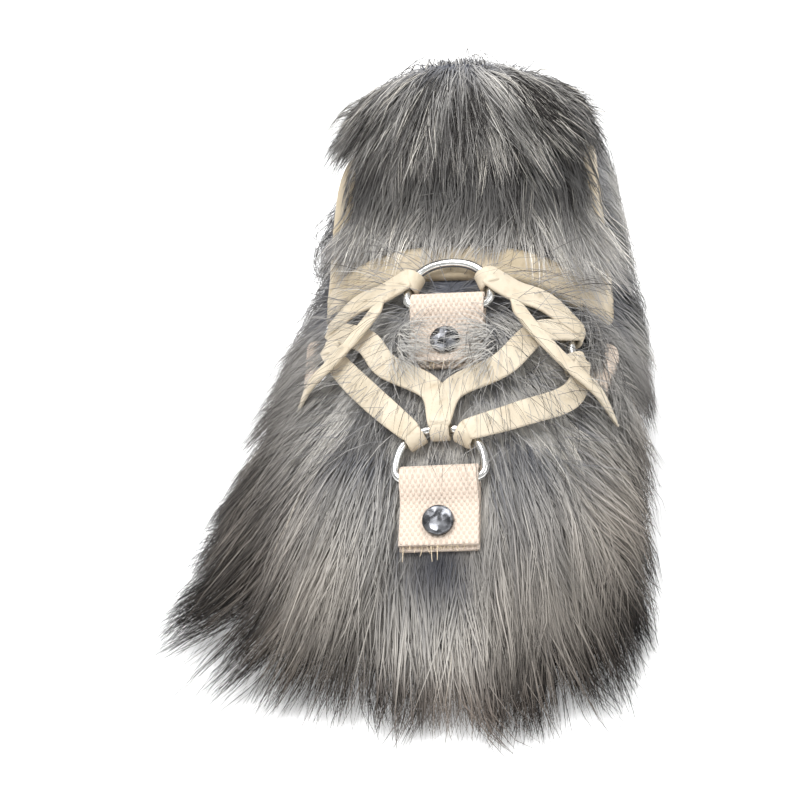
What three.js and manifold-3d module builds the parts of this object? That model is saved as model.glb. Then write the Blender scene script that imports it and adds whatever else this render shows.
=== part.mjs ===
// A fur clog for the right foot: a rubber sole, a hollow upper with deep fur, a standing fur tongue,
// a bound collar, and a flat lace run through four D-rings on riveted webbing tabs.
// Millimetres. Y runs from the toe to the heel, X from the outer side of the foot to the inner side, Z up.

import * as THREE from "three";
import { mergeVertices } from "three/addons/utils/BufferGeometryUtils.js";
import Module from "manifold-3d";

const wasm = await Module();
wasm.setup();

// Driving sizes
const FIT_GAP = 0.35;

const SOLE = { length: 258, toeRound: 60, heelRound: 38, roundness: 2.3, toeSwing: 6, swingEnd: 120 };

// outer and inner are half widths, under is the tread's height, top the height of the upper face
const SOLE_SECTIONS = [
  { at: 0, outer: 40, inner: 41, under: 8, top: 25 },
  { at: 16, outer: 42, inner: 42, under: 3.2, top: 21 },
  { at: 40, outer: 46, inner: 45, under: 0, top: 18 },
  { at: 92, outer: 50, inner: 46, under: 0, top: 18 },
  { at: 116, outer: 48, inner: 40, under: 1.8, top: 19.5 },
  { at: 142, outer: 42, inner: 34, under: 4.2, top: 22 },
  { at: 166, outer: 37, inner: 32.5, under: 2, top: 24 },
  { at: 182, outer: 35.5, inner: 33, under: 0, top: 25 },
  { at: 222, outer: 34.5, inner: 34, under: 0, top: 26 },
  { at: 258, outer: 33, inner: 33, under: 0, top: 26 },
];

// The side of a slab from its lower face to its upper face: how far in from the outline, and share of height
const OUTSOLE_EDGE = [
  { inset: 4.5, up: 0 },
  { inset: 1.6, up: 0.1 },
  { inset: 0.8, up: 0.5 },
  { inset: 0, up: 0.82 },
  { inset: 1, up: 1 },
];
const SOLE_CLEARANCE = { around: 0.8, below: 5 };
const INSOLE = { inset: 7.4, toeInset: 5, thick: 4, edgeRound: 1.5 };

const UPPER = {
  inset: 3,
  wall: 2.8,
  toeRound: 60,
  heelRound: 40,
  toeRise: 24,
  squareness: 2.4,
  belly: 34,
  leanStart: 150,
  skirt: 12,
};

// outer and inner are the widest half widths of the section, ridge is the height of its middle
const UPPER_SECTIONS = [
  { at: 0, outer: 42, inner: 42, ridge: 33 },
  { at: 16, outer: 44, inner: 44, ridge: 42 },
  { at: 28, outer: 46.5, inner: 46, ridge: 49.5 },
  { at: 52, outer: 50.5, inner: 49, ridge: 65 },
  { at: 77, outer: 53, inner: 51, ridge: 81 },
  { at: 100, outer: 54, inner: 51.5, ridge: 95.5 },
  { at: 132, outer: 51.5, inner: 49, ridge: 163 },
  { at: 160, outer: 46.5, inner: 45, ridge: 190 },
  { at: 200, outer: 41, inner: 40.5, ridge: 200 },
  { at: 258, outer: 38, inner: 38, ridge: 200 },
];

// How far the back of the heel swells out or leans in at each height
const HEEL_CURVE = [
  { height: 20, back: 0 },
  { height: 50, back: 2.5 },
  { height: 80, back: 0.5 },
  { height: 108, back: -5 },
  { height: 140, back: -9 },
  { height: 220, back: -9 },
];

// The collar's edge from the side: the throat, the notch at each side, the quarters and the heel
const COLLAR_EDGE = [
  { at: 96, height: 105 },
  { at: 100, height: 96 },
  { at: 105, height: 84.5 },
  { at: 110, height: 75.5 },
  { at: 116, height: 71 },
  { at: 122, height: 78 },
  { at: 127, height: 94 },
  { at: 135, height: 107 },
  { at: 147, height: 111.5 },
  { at: 172, height: 109 },
  { at: 210, height: 105 },
  { at: 240, height: 107 },
  { at: 275, height: 111 },
];
const BINDING = { width: 11, thick: 1.4 };

// The tongue from its hidden root to its top: half is its half width, drop and back are how far
// its two edges fall and lie back from its middle
const TONGUE_SECTIONS = [
  { share: 0, at: 79, height: 75, half: 24, drop: 10, back: 0, thick: 4 },
  { share: 0.26, at: 100, height: 88, half: 30, drop: 13, back: 3, thick: 5 },
  { share: 0.46, at: 110, height: 104, half: 35, drop: 12, back: 7, thick: 8 },
  { share: 0.68, at: 121, height: 122, half: 39, drop: 8, back: 9, thick: 9 },
  { share: 0.88, at: 131, height: 141, half: 36, drop: 9, back: 9, thick: 9 },
  { share: 1, at: 136, height: 149, half: 24, drop: 6, back: 5, thick: 6 },
];

// How far the hem of the fur stands out from the wall
const HEM_FLARE = [
  { at: 0, outer: 29, inner: 28 },
  { at: 26, outer: 52, inner: 37 },
  { at: 62, outer: 37, inner: 24 },
  { at: 100, outer: 22, inner: 19 },
  { at: 150, outer: 16, inner: 16 },
  { at: 258, outer: 15, inner: 15 },
];

// Rows of locks round the upper, each at one height above the sole's edge, with the locks on each side.
// A row goes back from the toe to one place along the shoe.
const HEM = { up: 13, aSide: 22, tipHeight: 2.2, tipSpread: 4, thick: 9, lift: 6 };
const LOCK_ROWS = [
  { up: 20, aSide: 20, to: 75, length: 24, thick: 9, lift: 10 },
  { up: 31, aSide: 18, to: 258, length: 34, thick: 11, lift: 14 },
  { up: 52, aSide: 15, to: 258, length: 36, thick: 11, lift: 14 },
];

// A lock's root lies in the wall, its crest and the valleys beside it come at shares of its length and lift.
// Where other pieces need the room, a short lock stays buried in the wall.
const LOCK = {
  rootDepth: 1.2,
  crest: 0.5,
  valley: 0.55,
  valleyLift: 0.55,
  clearance: 9.5,
  bandMargin: 4,
  buried: 1,
  buriedLength: 0.3,
  deepest: 20,
};

// The fur's flow: out from a whorl under the lacing on the vamp, down and back on the quarters
const FLOW = { whorlAt: 84, quarterAt: 130, sideways: 1.3, down: 0.8, out: 0.2, back: 0.35 };

const TONGUE_ROWS = [
  { share: 0.97, count: 6, spread: 0.95, length: 34, thick: 6, lift: 12, rise: 9 },
  { share: 0.8, count: 7, spread: 1, length: 34, thick: 6, lift: 13, rise: 0 },
  { share: 0.58, count: 7, spread: 1, length: 26, thick: 5.5, lift: 12, rise: 0 },
];

const WEBBING = { width: 24, length: 22, thick: 1.9, cutBack: 0.8, seat: 0.55 };
const RING = { half: 13.6, height: 16, shoulder: 0.32, wire: 1.5, clearance: 0.55, segments: 22, sides: 6 };
const RIVET = { head: 4.75, dome: 2.1, shank: 2, fromEnd: 8, seat: 0.3, footGap: 0.1, segments: 8 };

// Where each tab folds round its ring: place on the skin, which way the ring points, and the ring's tilt
const TABS = [
  { name: "lower", at: 29, turn: 90, pull: "back", tilt: -4 },
  { name: "upper", at: 80, turn: 90, pull: "back", tilt: -4 },
  { name: "outer", at: 82, turn: 145, pull: "over", tilt: 9 },
  { name: "inner", at: 82, turn: 33, pull: "over", tilt: 9 },
];

// The lace: each strand runs from one ring's bow to another over places on the skin
const LACE = { width: 7, thick: 1.4, sleeveWidth: 6, sleeveGap: 1, lift: 6.6 };
const STRANDS = [
  { from: ["lower", 128], over: [[53, 111], [67, 124]], to: ["outer", 55] },
  { from: ["lower", 90], over: [[53, 92], [62, 106], [71, 113]], to: ["outer", 90] },
  { from: ["upper", 160], over: [[86, 108], [86, 118]], to: ["outer", 90] },
  { from: ["lower", 52], over: [[49, 66], [62, 48]], to: ["inner", 145] },
  { from: ["lower", 90], over: [[53, 88], [62, 74], [75, 63]], to: ["inner", 90] },
  { from: ["upper", 20], over: [[86, 72], [86, 62]], to: ["inner", 90] },
];

// The two free ends, from the upper ring to their tips: along the shoe, turn and lift above the skin
const LACE_END = { width: 4.6, thick: 1.6 };
const LACE_ENDS = [
  {
    name: "lace_end_outer",
    route: [[82, 107, 8.2], [74, 113, 10], [67, 124, 10.5], [65, 134, 10.5], [64, 146, 9]],
  },
  {
    name: "lace_end_inner",
    route: [[82, 73, 8.2], [74, 66, 10], [67, 54, 10.5], [65, 42, 10.5], [64, 28, 9]],
  },
];

const FORM = {
  stations: 26,
  turns: 14,
  soleStations: 26,
  collarSteps: 28,
  contourSteps: 120,
  tongueRows: 8,
  tongueColumns: 6,
  laceSteps: 6,
  laceEndSteps: 8,
};

const FINISHES = {
  rubber: { color: 0x3a3632, roughness: 0.85, metalness: 0 },
  footbed: { color: 0xcdbd9f, roughness: 0.9, metalness: 0 },
  fur: { color: 0x7d7c7b, roughness: 0.95, metalness: 0 },
  leather: { color: 0xe9d6b2, roughness: 0.6, metalness: 0 },
  webbing: { color: 0xdcc5ab, roughness: 0.9, metalness: 0 },
  nickel: { color: 0xc9cacb, roughness: 0.25, metalness: 1 },
  darkNickel: { color: 0x66686d, roughness: 0.35, metalness: 1 },
};

// Small helpers
const mix = (a, b, share) => a + (b - a) * share;
const clamp = (value, low, high) => Math.min(high, Math.max(low, value));
const radians = THREE.MathUtils.degToRad;
const vec = (x, y, z) => new THREE.Vector3(x, y, z);

function easeBetween(low, high, value) {
  const share = clamp((value - low) / (high - low), 0, 1);
  return share * share * (3 - 2 * share);
}

// A repeatable spread of numbers from 0 to 1, so that no two locks are quite alike
function scatter(index, salt) {
  const value = Math.sin(index * 12.9898 + salt * 78.233) * 43758.5453;
  return value - Math.floor(value);
}

// A smooth curve through one column of a table. It never swings past its rows and is flat between equal ones.
function curveThrough(rows, along, column) {
  const x = rows.map((row) => row[along]);
  const y = rows.map((row) => row[column]);
  const steps = x.slice(1).map((right, i) => (y[i + 1] - y[i]) / (right - x[i]));
  const slopes = x.map((_, i) => {
    if (i === 0) return steps[0];
    if (i === x.length - 1) return steps[i - 1];
    const product = steps[i - 1] * steps[i];
    return product <= 0 ? 0 : (2 * product) / (steps[i - 1] + steps[i]);
  });
  return (value) => {
    const at = clamp(value, x[0], x[x.length - 1]);
    const i = clamp(x.findIndex((right) => right >= at) - 1, 0, steps.length - 1);
    const width = x[i + 1] - x[i];
    const t = (at - x[i]) / width;
    const bend = (slopes[i] - steps[i]) * (1 - t) - (slopes[i + 1] - steps[i]) * t;
    return mix(y[i], y[i + 1], t) + width * t * (1 - t) * bend;
  };
}

const soleWidth = {
  outer: curveThrough(SOLE_SECTIONS, "at", "outer"),
  inner: curveThrough(SOLE_SECTIONS, "at", "inner"),
};
const soleUnder = curveThrough(SOLE_SECTIONS, "at", "under");
const soleTop = curveThrough(SOLE_SECTIONS, "at", "top");
const upperWidth = {
  outer: curveThrough(UPPER_SECTIONS, "at", "outer"),
  inner: curveThrough(UPPER_SECTIONS, "at", "inner"),
};
const ridgeHeight = curveThrough(UPPER_SECTIONS, "at", "ridge");
const heelCurve = curveThrough(HEEL_CURVE, "height", "back");
const hemFlare = {
  outer: curveThrough(HEM_FLARE, "at", "outer"),
  inner: curveThrough(HEM_FLARE, "at", "inner"),
};

// The middle of the foot swings towards the inner side at the toe
const middle = (y) => SOLE.toeSwing * Math.max(0, 1 - y / SOLE.swingEnd) ** 2;

// The share of full width this far from an end that is rounded off over a length
function endRound(distance, length) {
  if (distance >= length) return 1;
  const short = 1 - Math.max(0, distance) / length;
  return (1 - short ** SOLE.roundness) ** (1 / SOLE.roundness);
}

// Stations from one end to the other, closer together at the rounded ends
function stations(from, to, count) {
  const share = (i) => (1 - Math.cos((Math.PI * i) / count)) / 2;
  return Array.from({ length: count + 1 }, (_, i) => mix(from, to, share(i)));
}

// Solids

function toSolid(geometry) {
  const bare = geometry.clone();
  bare.deleteAttribute("normal");
  bare.deleteAttribute("uv");
  const merged = mergeVertices(bare, 1e-4);
  const index = merged.index.array;
  const triVerts = [];
  for (let i = 0; i < index.length; i += 3) {
    const [a, b, c] = [index[i], index[i + 1], index[i + 2]];
    if (a !== b && b !== c && c !== a) triVerts.push(a, b, c);
  }
  const vertProperties = new Float32Array(merged.attributes.position.array);
  const mesh = new wasm.Mesh({ numProp: 3, vertProperties, triVerts: new Uint32Array(triVerts) });
  return new wasm.Manifold(mesh);
}

function toGeometry(solid) {
  const mesh = solid.getMesh();
  const geometry = new THREE.BufferGeometry();
  geometry.setAttribute("position", new THREE.BufferAttribute(new Float32Array(mesh.vertProperties), 3));
  geometry.setIndex(Array.from(mesh.triVerts));
  return geometry;
}

const join = (solids) => solids.reduce((all, one) => all.add(one));

function largestBody(solid) {
  return solid.decompose().reduce((best, body) => (body.volume() > best.volume() ? body : best));
}

// A closed skin through loops of points. The ends are closed by a fan round each end loop.
function loft(loops) {
  const around = loops[0].length;
  const points = loops.flat();
  const index = [];
  for (let row = 0; row + 1 < loops.length; row += 1) {
    for (let i = 0; i < around; i += 1) {
      const next = (i + 1) % around;
      const [a, b] = [row * around + i, row * around + next];
      index.push(a, b, b + around, a, b + around, a + around);
    }
  }
  for (let i = 1; i + 1 < around; i += 1) {
    const last = (loops.length - 1) * around;
    index.push(0, i + 1, i, last, last + i, last + i + 1);
  }
  const geometry = new THREE.BufferGeometry().setFromPoints(points);
  geometry.setIndex(index);
  if (signedVolume(points, index) < 0) geometry.setIndex(index.reverse());
  return geometry;
}

function signedVolume(points, index) {
  let sum = 0;
  for (let i = 0; i < index.length; i += 3) {
    const [a, b, c] = [points[index[i]], points[index[i + 1]], points[index[i + 2]]];
    sum += a.dot(vec(0, 0, 0).crossVectors(b, c));
  }
  return sum;
}

// A slab with the sole's outline: at each station a loop goes up the outer side and down the inner side
function soleSlab(edge, inset, lower, upper, toeInset = 0) {
  const rows = stations(0, 1, FORM.soleStations).map((share) => {
    const side = (name, sign) =>
      edge.map((step) => {
        const inward = inset + step.inset;
        const y = mix(inward + toeInset, SOLE.length - inward, share);
        const fromToe = y - inward - toeInset;
        const fromHeel = SOLE.length - inward - y;
        const toe = endRound(fromToe, SOLE.toeRound - inward);
        const round = toe * endRound(fromHeel, SOLE.heelRound - inward);
        const x = middle(y) + sign * (soleWidth[name](y) - inward) * round;
        return vec(x, y, mix(lower(y), upper(y), step.up));
      });
    return [...side("outer", -1), ...side("inner", 1).reverse()];
  });
  return loft(rows);
}

// The last's skin. y is the place along the shoe, turn goes from 0 at the inner feather line over the ridge
// to PI at the outer one, and grow is how far outside the upper's face the skin lies.
function skin(y, turn, grow = 0) {
  const name = Math.cos(turn) >= 0 ? "inner" : "outer";
  const fromToe = y - UPPER.inset + grow;
  const fromHeel = SOLE.length - UPPER.inset + grow - y;
  const round = endRound(fromToe, UPPER.toeRound + grow) * endRound(fromHeel, UPPER.heelRound + grow);
  const up = sectionRise(y, grow) * Math.max(0, Math.sin(turn)) ** (2 / UPPER.squareness);
  const across = Math.abs(Math.cos(turn)) ** (2 / UPPER.squareness);
  const feather = (soleWidth[name](y) - UPPER.inset) / upperWidth[name](y);
  const low = Math.max(0, 1 - up / UPPER.belly);
  const taper = 1 - (1 - feather) * low * low;
  const x = middle(y) + Math.sign(Math.cos(turn)) * (upperWidth[name](y) + grow) * round * across * taper;
  const z = featherHeight(y) + up;
  return vec(x, y + heelCurve(z) * easeBetween(UPPER.leanStart, SOLE.length, y), z);
}

// The height of the feather line, where the upper meets the sole, and of a section's ridge above it
const featherHeight = (y) => soleTop(y) + FIT_GAP;
function sectionRise(y, grow = 0) {
  const slope = Math.min(1.3, ridgeHeight(y + 0.5) - ridgeHeight(y - 0.5));
  const ridge = ridgeHeight(y) + grow * Math.hypot(1, slope);
  return (ridge - featherHeight(y)) * endRound(y - UPPER.inset + grow, UPPER.toeRise + grow);
}

// The turn at which a section is this far up from the feather line
const turnAtHeight = (y, up) => Math.asin(Math.min(1, (up / sectionRise(y)) ** (UPPER.squareness / 2)));

// The last as a solid form, with a straight skirt below the feather line where it is to cut through
function lastForm(grow, skirt = 0) {
  const from = UPPER.inset - grow;
  const to = SOLE.length - UPPER.inset + grow;
  const rows = stations(from, to, FORM.stations).map((y) => {
    const arch = Array.from({ length: FORM.turns + 1 }, (_, i) => skin(y, (Math.PI * i) / FORM.turns, grow));
    if (skirt === 0) return arch;
    const hang = (point) => point.clone().setZ(point.z - skirt);
    return [hang(arch[0]), ...arch, hang(arch[FORM.turns])];
  });
  return toSolid(loft(rows));
}

// The skin's own axes at a place: outward, back along the shoe, and over the section towards the ridge
function skinFrame(y, turn) {
  const step = 0.4;
  const point = skin(y, turn);
  const back = skin(y + step, turn).sub(skin(y - step, turn)).divideScalar(2 * step);
  const over = skin(y, turn + 0.01).sub(skin(y, turn - 0.01)).divideScalar(0.02);
  const normal = vec(0, 0, 0).crossVectors(over, back).normalize();
  if (normal.dot(vec(point.x - middle(y), 0, point.z - soleTop(y))) < 0) normal.negate();
  return { point, normal, back, over };
}

const above = (y, turn, lift) => {
  const frame = skinFrame(y, turn);
  return frame.point.addScaledVector(frame.normal, lift);
};

// The place on the skin that lies a distance from another, along a heading
function walk(y, turn, heading, distance) {
  const { back, over } = skinFrame(y, turn);
  const [bb, oo, bo] = [back.dot(back), over.dot(over), back.dot(over)];
  const [hb, ho] = [heading.dot(back), heading.dot(over)];
  const det = bb * oo - bo * bo;
  const dy = ((hb * oo - ho * bo) / det) * distance;
  const dTurn = ((ho * bb - hb * bo) / det) * distance;
  const margin = { along: UPPER.inset + 1, turn: 0.03 };
  const yThere = clamp(y + dy, margin.along, SOLE.length - margin.along);
  return [yThere, clamp(turn + dTurn, margin.turn, Math.PI - margin.turn)];
}

// The collar's edge line moved into the upper (minus) or away from it (plus), and the space above it
const collarCurve = new THREE.SplineCurve(COLLAR_EDGE.map((row) => new THREE.Vector2(row.at, row.height)));
function spaceAboveCollar(shift) {
  const count = FORM.collarSteps;
  const far = { half: 120, top: 260 };
  const line = Array.from({ length: count + 1 }, (_, i) => {
    const point = collarCurve.getPointAt(i / count);
    const tangent = collarCurve.getTangentAt(i / count);
    return new THREE.Vector2(point.x - tangent.y * shift, point.y + tangent.x * shift);
  });
  const [first, last] = [line[0], line[count]];
  const over = [last, first].map((end) => new THREE.Vector2(end.x, far.top));
  const shape = new THREE.Shape([...line, ...over]);
  const geometry = new THREE.ExtrudeGeometry(shape, { depth: 2 * far.half, bevelEnabled: false });
  geometry.translate(0, 0, -far.half);
  geometry.applyMatrix4(new THREE.Matrix4().makeBasis(vec(0, 1, 0), vec(0, 0, 1), vec(1, 0, 0)));
  return toSolid(geometry);
}

// The wall between two offsets of the last
const wallBetween = (outside, inside) => lastForm(outside).subtract(lastForm(inside, UPPER.skirt));

// A row of locks side by side: each rises from its root to a crest and tapers to its tip, and a valley parts
// it from the next. deep goes from a row's top to its underside, and is nothing at the end of an open row.
function fringe(locks, valleys) {
  const points = [];
  const index = [];
  const faces = [
    [0, 3, 4, 0, 4, 1, 1, 4, 5, 1, 5, 2, 3, 6, 4, 4, 6, 5],
    [7, 8, 10, 7, 10, 9, 9, 10, 6],
    [3, 9, 6, 5, 6, 10],
    [0, 1, 7, 1, 8, 7, 1, 2, 8],
  ].flat();
  locks.forEach((lock, i) => {
    const [a, b] = [valleys[i], valleys[i + 1]];
    const under = (point, valley) => point.clone().add(valley.deep);
    const first = points.length;
    points.push(a.root, lock.root, b.root, a.mid, lock.crest, b.mid, lock.tip);
    points.push(under(a.root, a), under(b.root, b), under(a.mid, a), under(b.mid, b));
    index.push(...faces.map((corner) => first + corner));
  });
  const geometry = new THREE.BufferGeometry().setFromPoints(points);
  geometry.setIndex(index);
  return toSolid(geometry);
}

// The way a lock lies at a place on the upper
function furHeading(point, normal) {
  const radial = vec(point.x * FLOW.sideways, point.y - FLOW.whorlAt, 0);
  const down = vec(Math.sign(point.x) * FLOW.out, FLOW.back, -1);
  const heading = radial.normalize().addScaledVector(vec(0, 0, -1), FLOW.down);
  heading.lerp(down, easeBetween(FLOW.whorlAt, FLOW.quarterAt, point.y));
  return heading.addScaledVector(normal, -heading.dot(normal)).normalize();
}

// Hardware places

// A tab's own axes: pull points from the tab to its ring, across runs along the ring's bar
function tabFrame(tab) {
  const turn = radians(tab.turn);
  const { point, normal, back, over } = skinFrame(tab.at, turn);
  const toRidge = turn < Math.PI / 2 ? over : over.negate();
  const pull = tab.pull === "back" ? back : toRidge;
  pull.addScaledVector(normal, -pull.dot(normal)).normalize();
  const across = vec(0, 0, 0).crossVectors(pull, normal).normalize();
  return { point, normal, pull, across };
}

const loopOuter = RING.wire + RING.clearance + WEBBING.thick;
const tabStack = 2 * WEBBING.thick + FIT_GAP;

// The middle of the ring's bar, in the fold of the tab
function barCentre(tab) {
  const { point, normal } = tabFrame(tab);
  return point.clone().addScaledVector(normal, WEBBING.seat + loopOuter);
}

// The ring's plane turns about its bar by the tab's tilt
function ringAxes(tab) {
  const { normal, pull, across } = tabFrame(tab);
  const turned = pull.clone().applyAxisAngle(across, -radians(tab.tilt));
  const face = vec(0, 0, 0).crossVectors(across, turned).normalize();
  return { across, pull: turned, face: face.dot(normal) < 0 ? face.negate() : face };
}

// Places round the ring: a straight bar, two tight corners and a bow
function ringPath() {
  const { half, height } = RING;
  const right = [
    [half * 0.45, 0],
    [half * 0.86, 0],
    [half * 0.985, height * 0.1],
    [half, height * RING.shoulder],
    [half * 0.866, height * 0.66],
    [half * 0.5, height * 0.915],
  ];
  const left = right.map(([x, y]) => [-x, y]).reverse();
  const outline = [[0, 0], ...right, [0, height], ...left];
  return new THREE.CatmullRomCurve3(outline.map(([x, y]) => vec(x, y, 0)), true, "catmullrom", 0.5);
}

// A place on the bow at an angle seen from the middle of the bar's lower side, and the wire's run there
function bowPlace(tab, angle) {
  const { across, pull, face } = ringAxes(tab);
  const turn = radians(angle);
  const lift = RING.height * RING.shoulder;
  const point = barCentre(tab)
    .addScaledVector(across, RING.half * Math.cos(turn))
    .addScaledVector(pull, lift + (RING.height - lift) * Math.sin(turn));
  const run = across
    .clone()
    .multiplyScalar(-RING.half * Math.sin(turn))
    .addScaledVector(pull, (RING.height - lift) * Math.cos(turn))
    .normalize();
  return { point, run, face };
}

const tabNamed = (name) => TABS.find((tab) => tab.name === name);

// Pieces

function makeOutsole() {
  return soleSlab(OUTSOLE_EDGE, 0, soleUnder, soleTop);
}

function makeInsole() {
  const edge = [
    { inset: 0, up: 0 },
    { inset: 0, up: 0.6 },
    { inset: INSOLE.edgeRound, up: 1 },
  ];
  const lower = (y) => soleTop(y) + FIT_GAP;
  return soleSlab(edge, INSOLE.inset, lower, (y) => lower(y) + INSOLE.thick, INSOLE.toeInset);
}

function makeTab() {
  const shape = new THREE.Shape();
  const end = -WEBBING.length;
  const cutEnd = end + WEBBING.cutBack;
  const neck = -loopOuter * 1.9;
  shape.moveTo(end, 0);
  shape.lineTo(0, 0);
  shape.absarc(0, loopOuter, loopOuter, -Math.PI / 2, Math.PI / 2, false);
  shape.lineTo(neck, tabStack);
  shape.lineTo(cutEnd, tabStack);
  shape.lineTo(cutEnd, WEBBING.thick);
  shape.lineTo(end, WEBBING.thick);
  const eye = new THREE.Path();
  eye.absarc(0, loopOuter, RING.wire + RING.clearance, 0, 2 * Math.PI, true);
  shape.holes.push(eye);
  const across = { depth: WEBBING.width, bevelEnabled: false, curveSegments: 6 };
  const geometry = new THREE.ExtrudeGeometry(shape, across);
  geometry.translate(0, 0, -WEBBING.width / 2);
  const boreRadius = RIVET.shank + FIT_GAP;
  const bore = new THREE.CylinderGeometry(boreRadius, boreRadius, WEBBING.width, 10);
  bore.translate(end + RIVET.fromEnd, 0, 0);
  return toGeometry(toSolid(geometry).subtract(toSolid(bore)));
}

function makeRivet() {
  const foot = -tabStack + RIVET.footGap;
  const { head, dome, shank, seat } = RIVET;
  const profile = [
    [0, foot],
    [shank, foot],
    [shank, seat],
    [head, seat],
    [head, seat + dome * 0.35],
    [head * 0.72, seat + dome * 0.85],
    [0, seat + dome],
  ];
  const points = profile.map(([x, y]) => new THREE.Vector2(x, y));
  return new THREE.LatheGeometry(points, RIVET.segments);
}

function makeRing() {
  return new THREE.TubeGeometry(ringPath(), RING.segments, RING.wire, RING.sides, true);
}

// A band along a route. facing is its outward side at each point, section its corners as shares across and up.
function band(points, facing, section, width, thick) {
  const loops = points.map((point, i) => {
    const before = points[Math.max(0, i - 1)];
    const after = points[Math.min(points.length - 1, i + 1)];
    const run = after.clone().sub(before).normalize();
    const across = vec(0, 0, 0).crossVectors(run, facing[i]).normalize();
    const up = vec(0, 0, 0).crossVectors(across, run).normalize();
    return section.map(([wide, high]) =>
      point
        .clone()
        .addScaledVector(across, wide * width)
        .addScaledVector(up, high * thick),
    );
  });
  return loft(loops);
}

const FLAT_SECTION = [
  [-0.5, -0.5],
  [0.5, -0.5],
  [0.5, 0.5],
  [-0.5, 0.5],
];
const OVAL_SECTION = Array.from({ length: 8 }, (_, i) => {
  const angle = radians(45 * i + 22.5);
  return [0.54 * Math.cos(angle), 0.54 * Math.sin(angle)];
});

const sleeveInner = RING.wire + LACE.sleeveGap;
const sleeveOuter = sleeveInner + LACE.thick;

// The lace's wrap round a ring's wire
function sleeve(place) {
  const half = LACE.sleeveWidth / 2;
  const corners = [
    [sleeveInner, -half],
    [sleeveOuter, -half],
    [sleeveOuter, half],
    [sleeveInner, half],
    [sleeveInner, -half],
  ];
  const geometry = new THREE.LatheGeometry(corners.map(([x, y]) => new THREE.Vector2(x, y)), 6);
  const sideways = vec(0, 0, 0).crossVectors(place.run, place.face);
  geometry.applyMatrix4(new THREE.Matrix4().makeBasis(sideways, place.run, place.face.clone()));
  return geometry.translate(place.point.x, place.point.y, place.point.z);
}

// One strand's middle line: off the top of one wrap, over the skin, and on to the top of the other wrap
function strandRoute(strand) {
  const [from, to] = [strand.from, strand.to].map(([name, angle]) => bowPlace(tabNamed(name), angle));
  const onTop = (place) => place.point.clone().addScaledVector(place.face, sleeveOuter - LACE.thick / 4);
  const passing = strand.over.map(([y, turn]) => above(y, radians(turn), LACE.lift));
  const curve = new THREE.CatmullRomCurve3([onTop(from), ...passing, onTop(to)], false, "centripetal");
  const points = curve.getSpacedPoints(FORM.laceSteps);
  const normals = strand.over.map(([y, turn]) => skinFrame(y, radians(turn)).normal);
  const facings = [from.face, ...normals, to.face];
  const facing = points.map((_, i) => {
    const place = (i / (points.length - 1)) * (facings.length - 1);
    const low = Math.min(Math.floor(place), facings.length - 2);
    return facings[low].clone().lerp(facings[low + 1], place - low).normalize();
  });
  return { points, facing };
}

const strandRoutes = STRANDS.map(strandRoute);

function makeLace() {
  const { width, thick } = LACE;
  const strands = strandRoutes.map(({ points, facing }) => band(points, facing, FLAT_SECTION, width, thick));
  const wraps = STRANDS.flatMap((strand) => [strand.from, strand.to]).filter(
    ([name, angle], i, all) => all.findIndex((other) => other[0] === name && other[1] === angle) === i,
  );
  const sleeves = wraps.map(([name, angle]) => sleeve(bowPlace(tabNamed(name), angle)));
  return toGeometry(largestBody(join([...strands, ...sleeves].map(toSolid))));
}

function makeLaceEnd(end) {
  const places = end.route.map(([y, turn, lift]) => above(y, radians(turn), lift));
  const points = new THREE.CatmullRomCurve3(places, false, "centripetal").getSpacedPoints(FORM.laceEndSteps);
  const facing = points.map((_, i) => {
    const share = (i / (points.length - 1)) * (end.route.length - 1);
    const low = Math.min(Math.floor(share), end.route.length - 2);
    const pair = [end.route[low], end.route[low + 1]];
    const [a, b] = pair.map(([y, turn]) => skinFrame(y, radians(turn)).normal);
    return a.lerp(b, share - low).normalize();
  });
  return band(points, facing, OVAL_SECTION, LACE_END.width, LACE_END.thick);
}

// Places that the fur's locks keep clear of: tabs, rings and lace
function hardwarePoints() {
  const places = strandRoutes.flatMap(({ points }) => points);
  for (const tab of TABS) {
    const { pull, across } = tabFrame(tab);
    const centre = barCentre(tab);
    for (const along of [0, 0.2, 0.4, 0.6, 0.8, 1]) {
      for (const wide of [-0.5, 0, 0.5]) {
        const place = centre.clone().addScaledVector(pull, mix(-WEBBING.length, RING.height, along));
        places.push(place.addScaledVector(across, wide * WEBBING.width));
      }
    }
  }
  const onRoute = ([y, turn, lift]) => above(y, radians(turn), lift);
  for (const end of LACE_ENDS) places.push(...end.route.map(onRoute));
  return places;
}

const keepClear = hardwarePoints();

const clearOfHardware = (points) =>
  points.every((point) => keepClear.every((place) => place.distanceTo(point) > LOCK.clearance));

// Where the ridge first comes this far up from the feather line
function ridgeStart(up) {
  let [low, high] = [UPPER.inset, SOLE.length / 2];
  for (let i = 0; i < 40; i += 1) {
    const half = (low + high) / 2;
    if (sectionRise(half) < up) low = half;
    else high = half;
  }
  return high;
}

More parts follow.
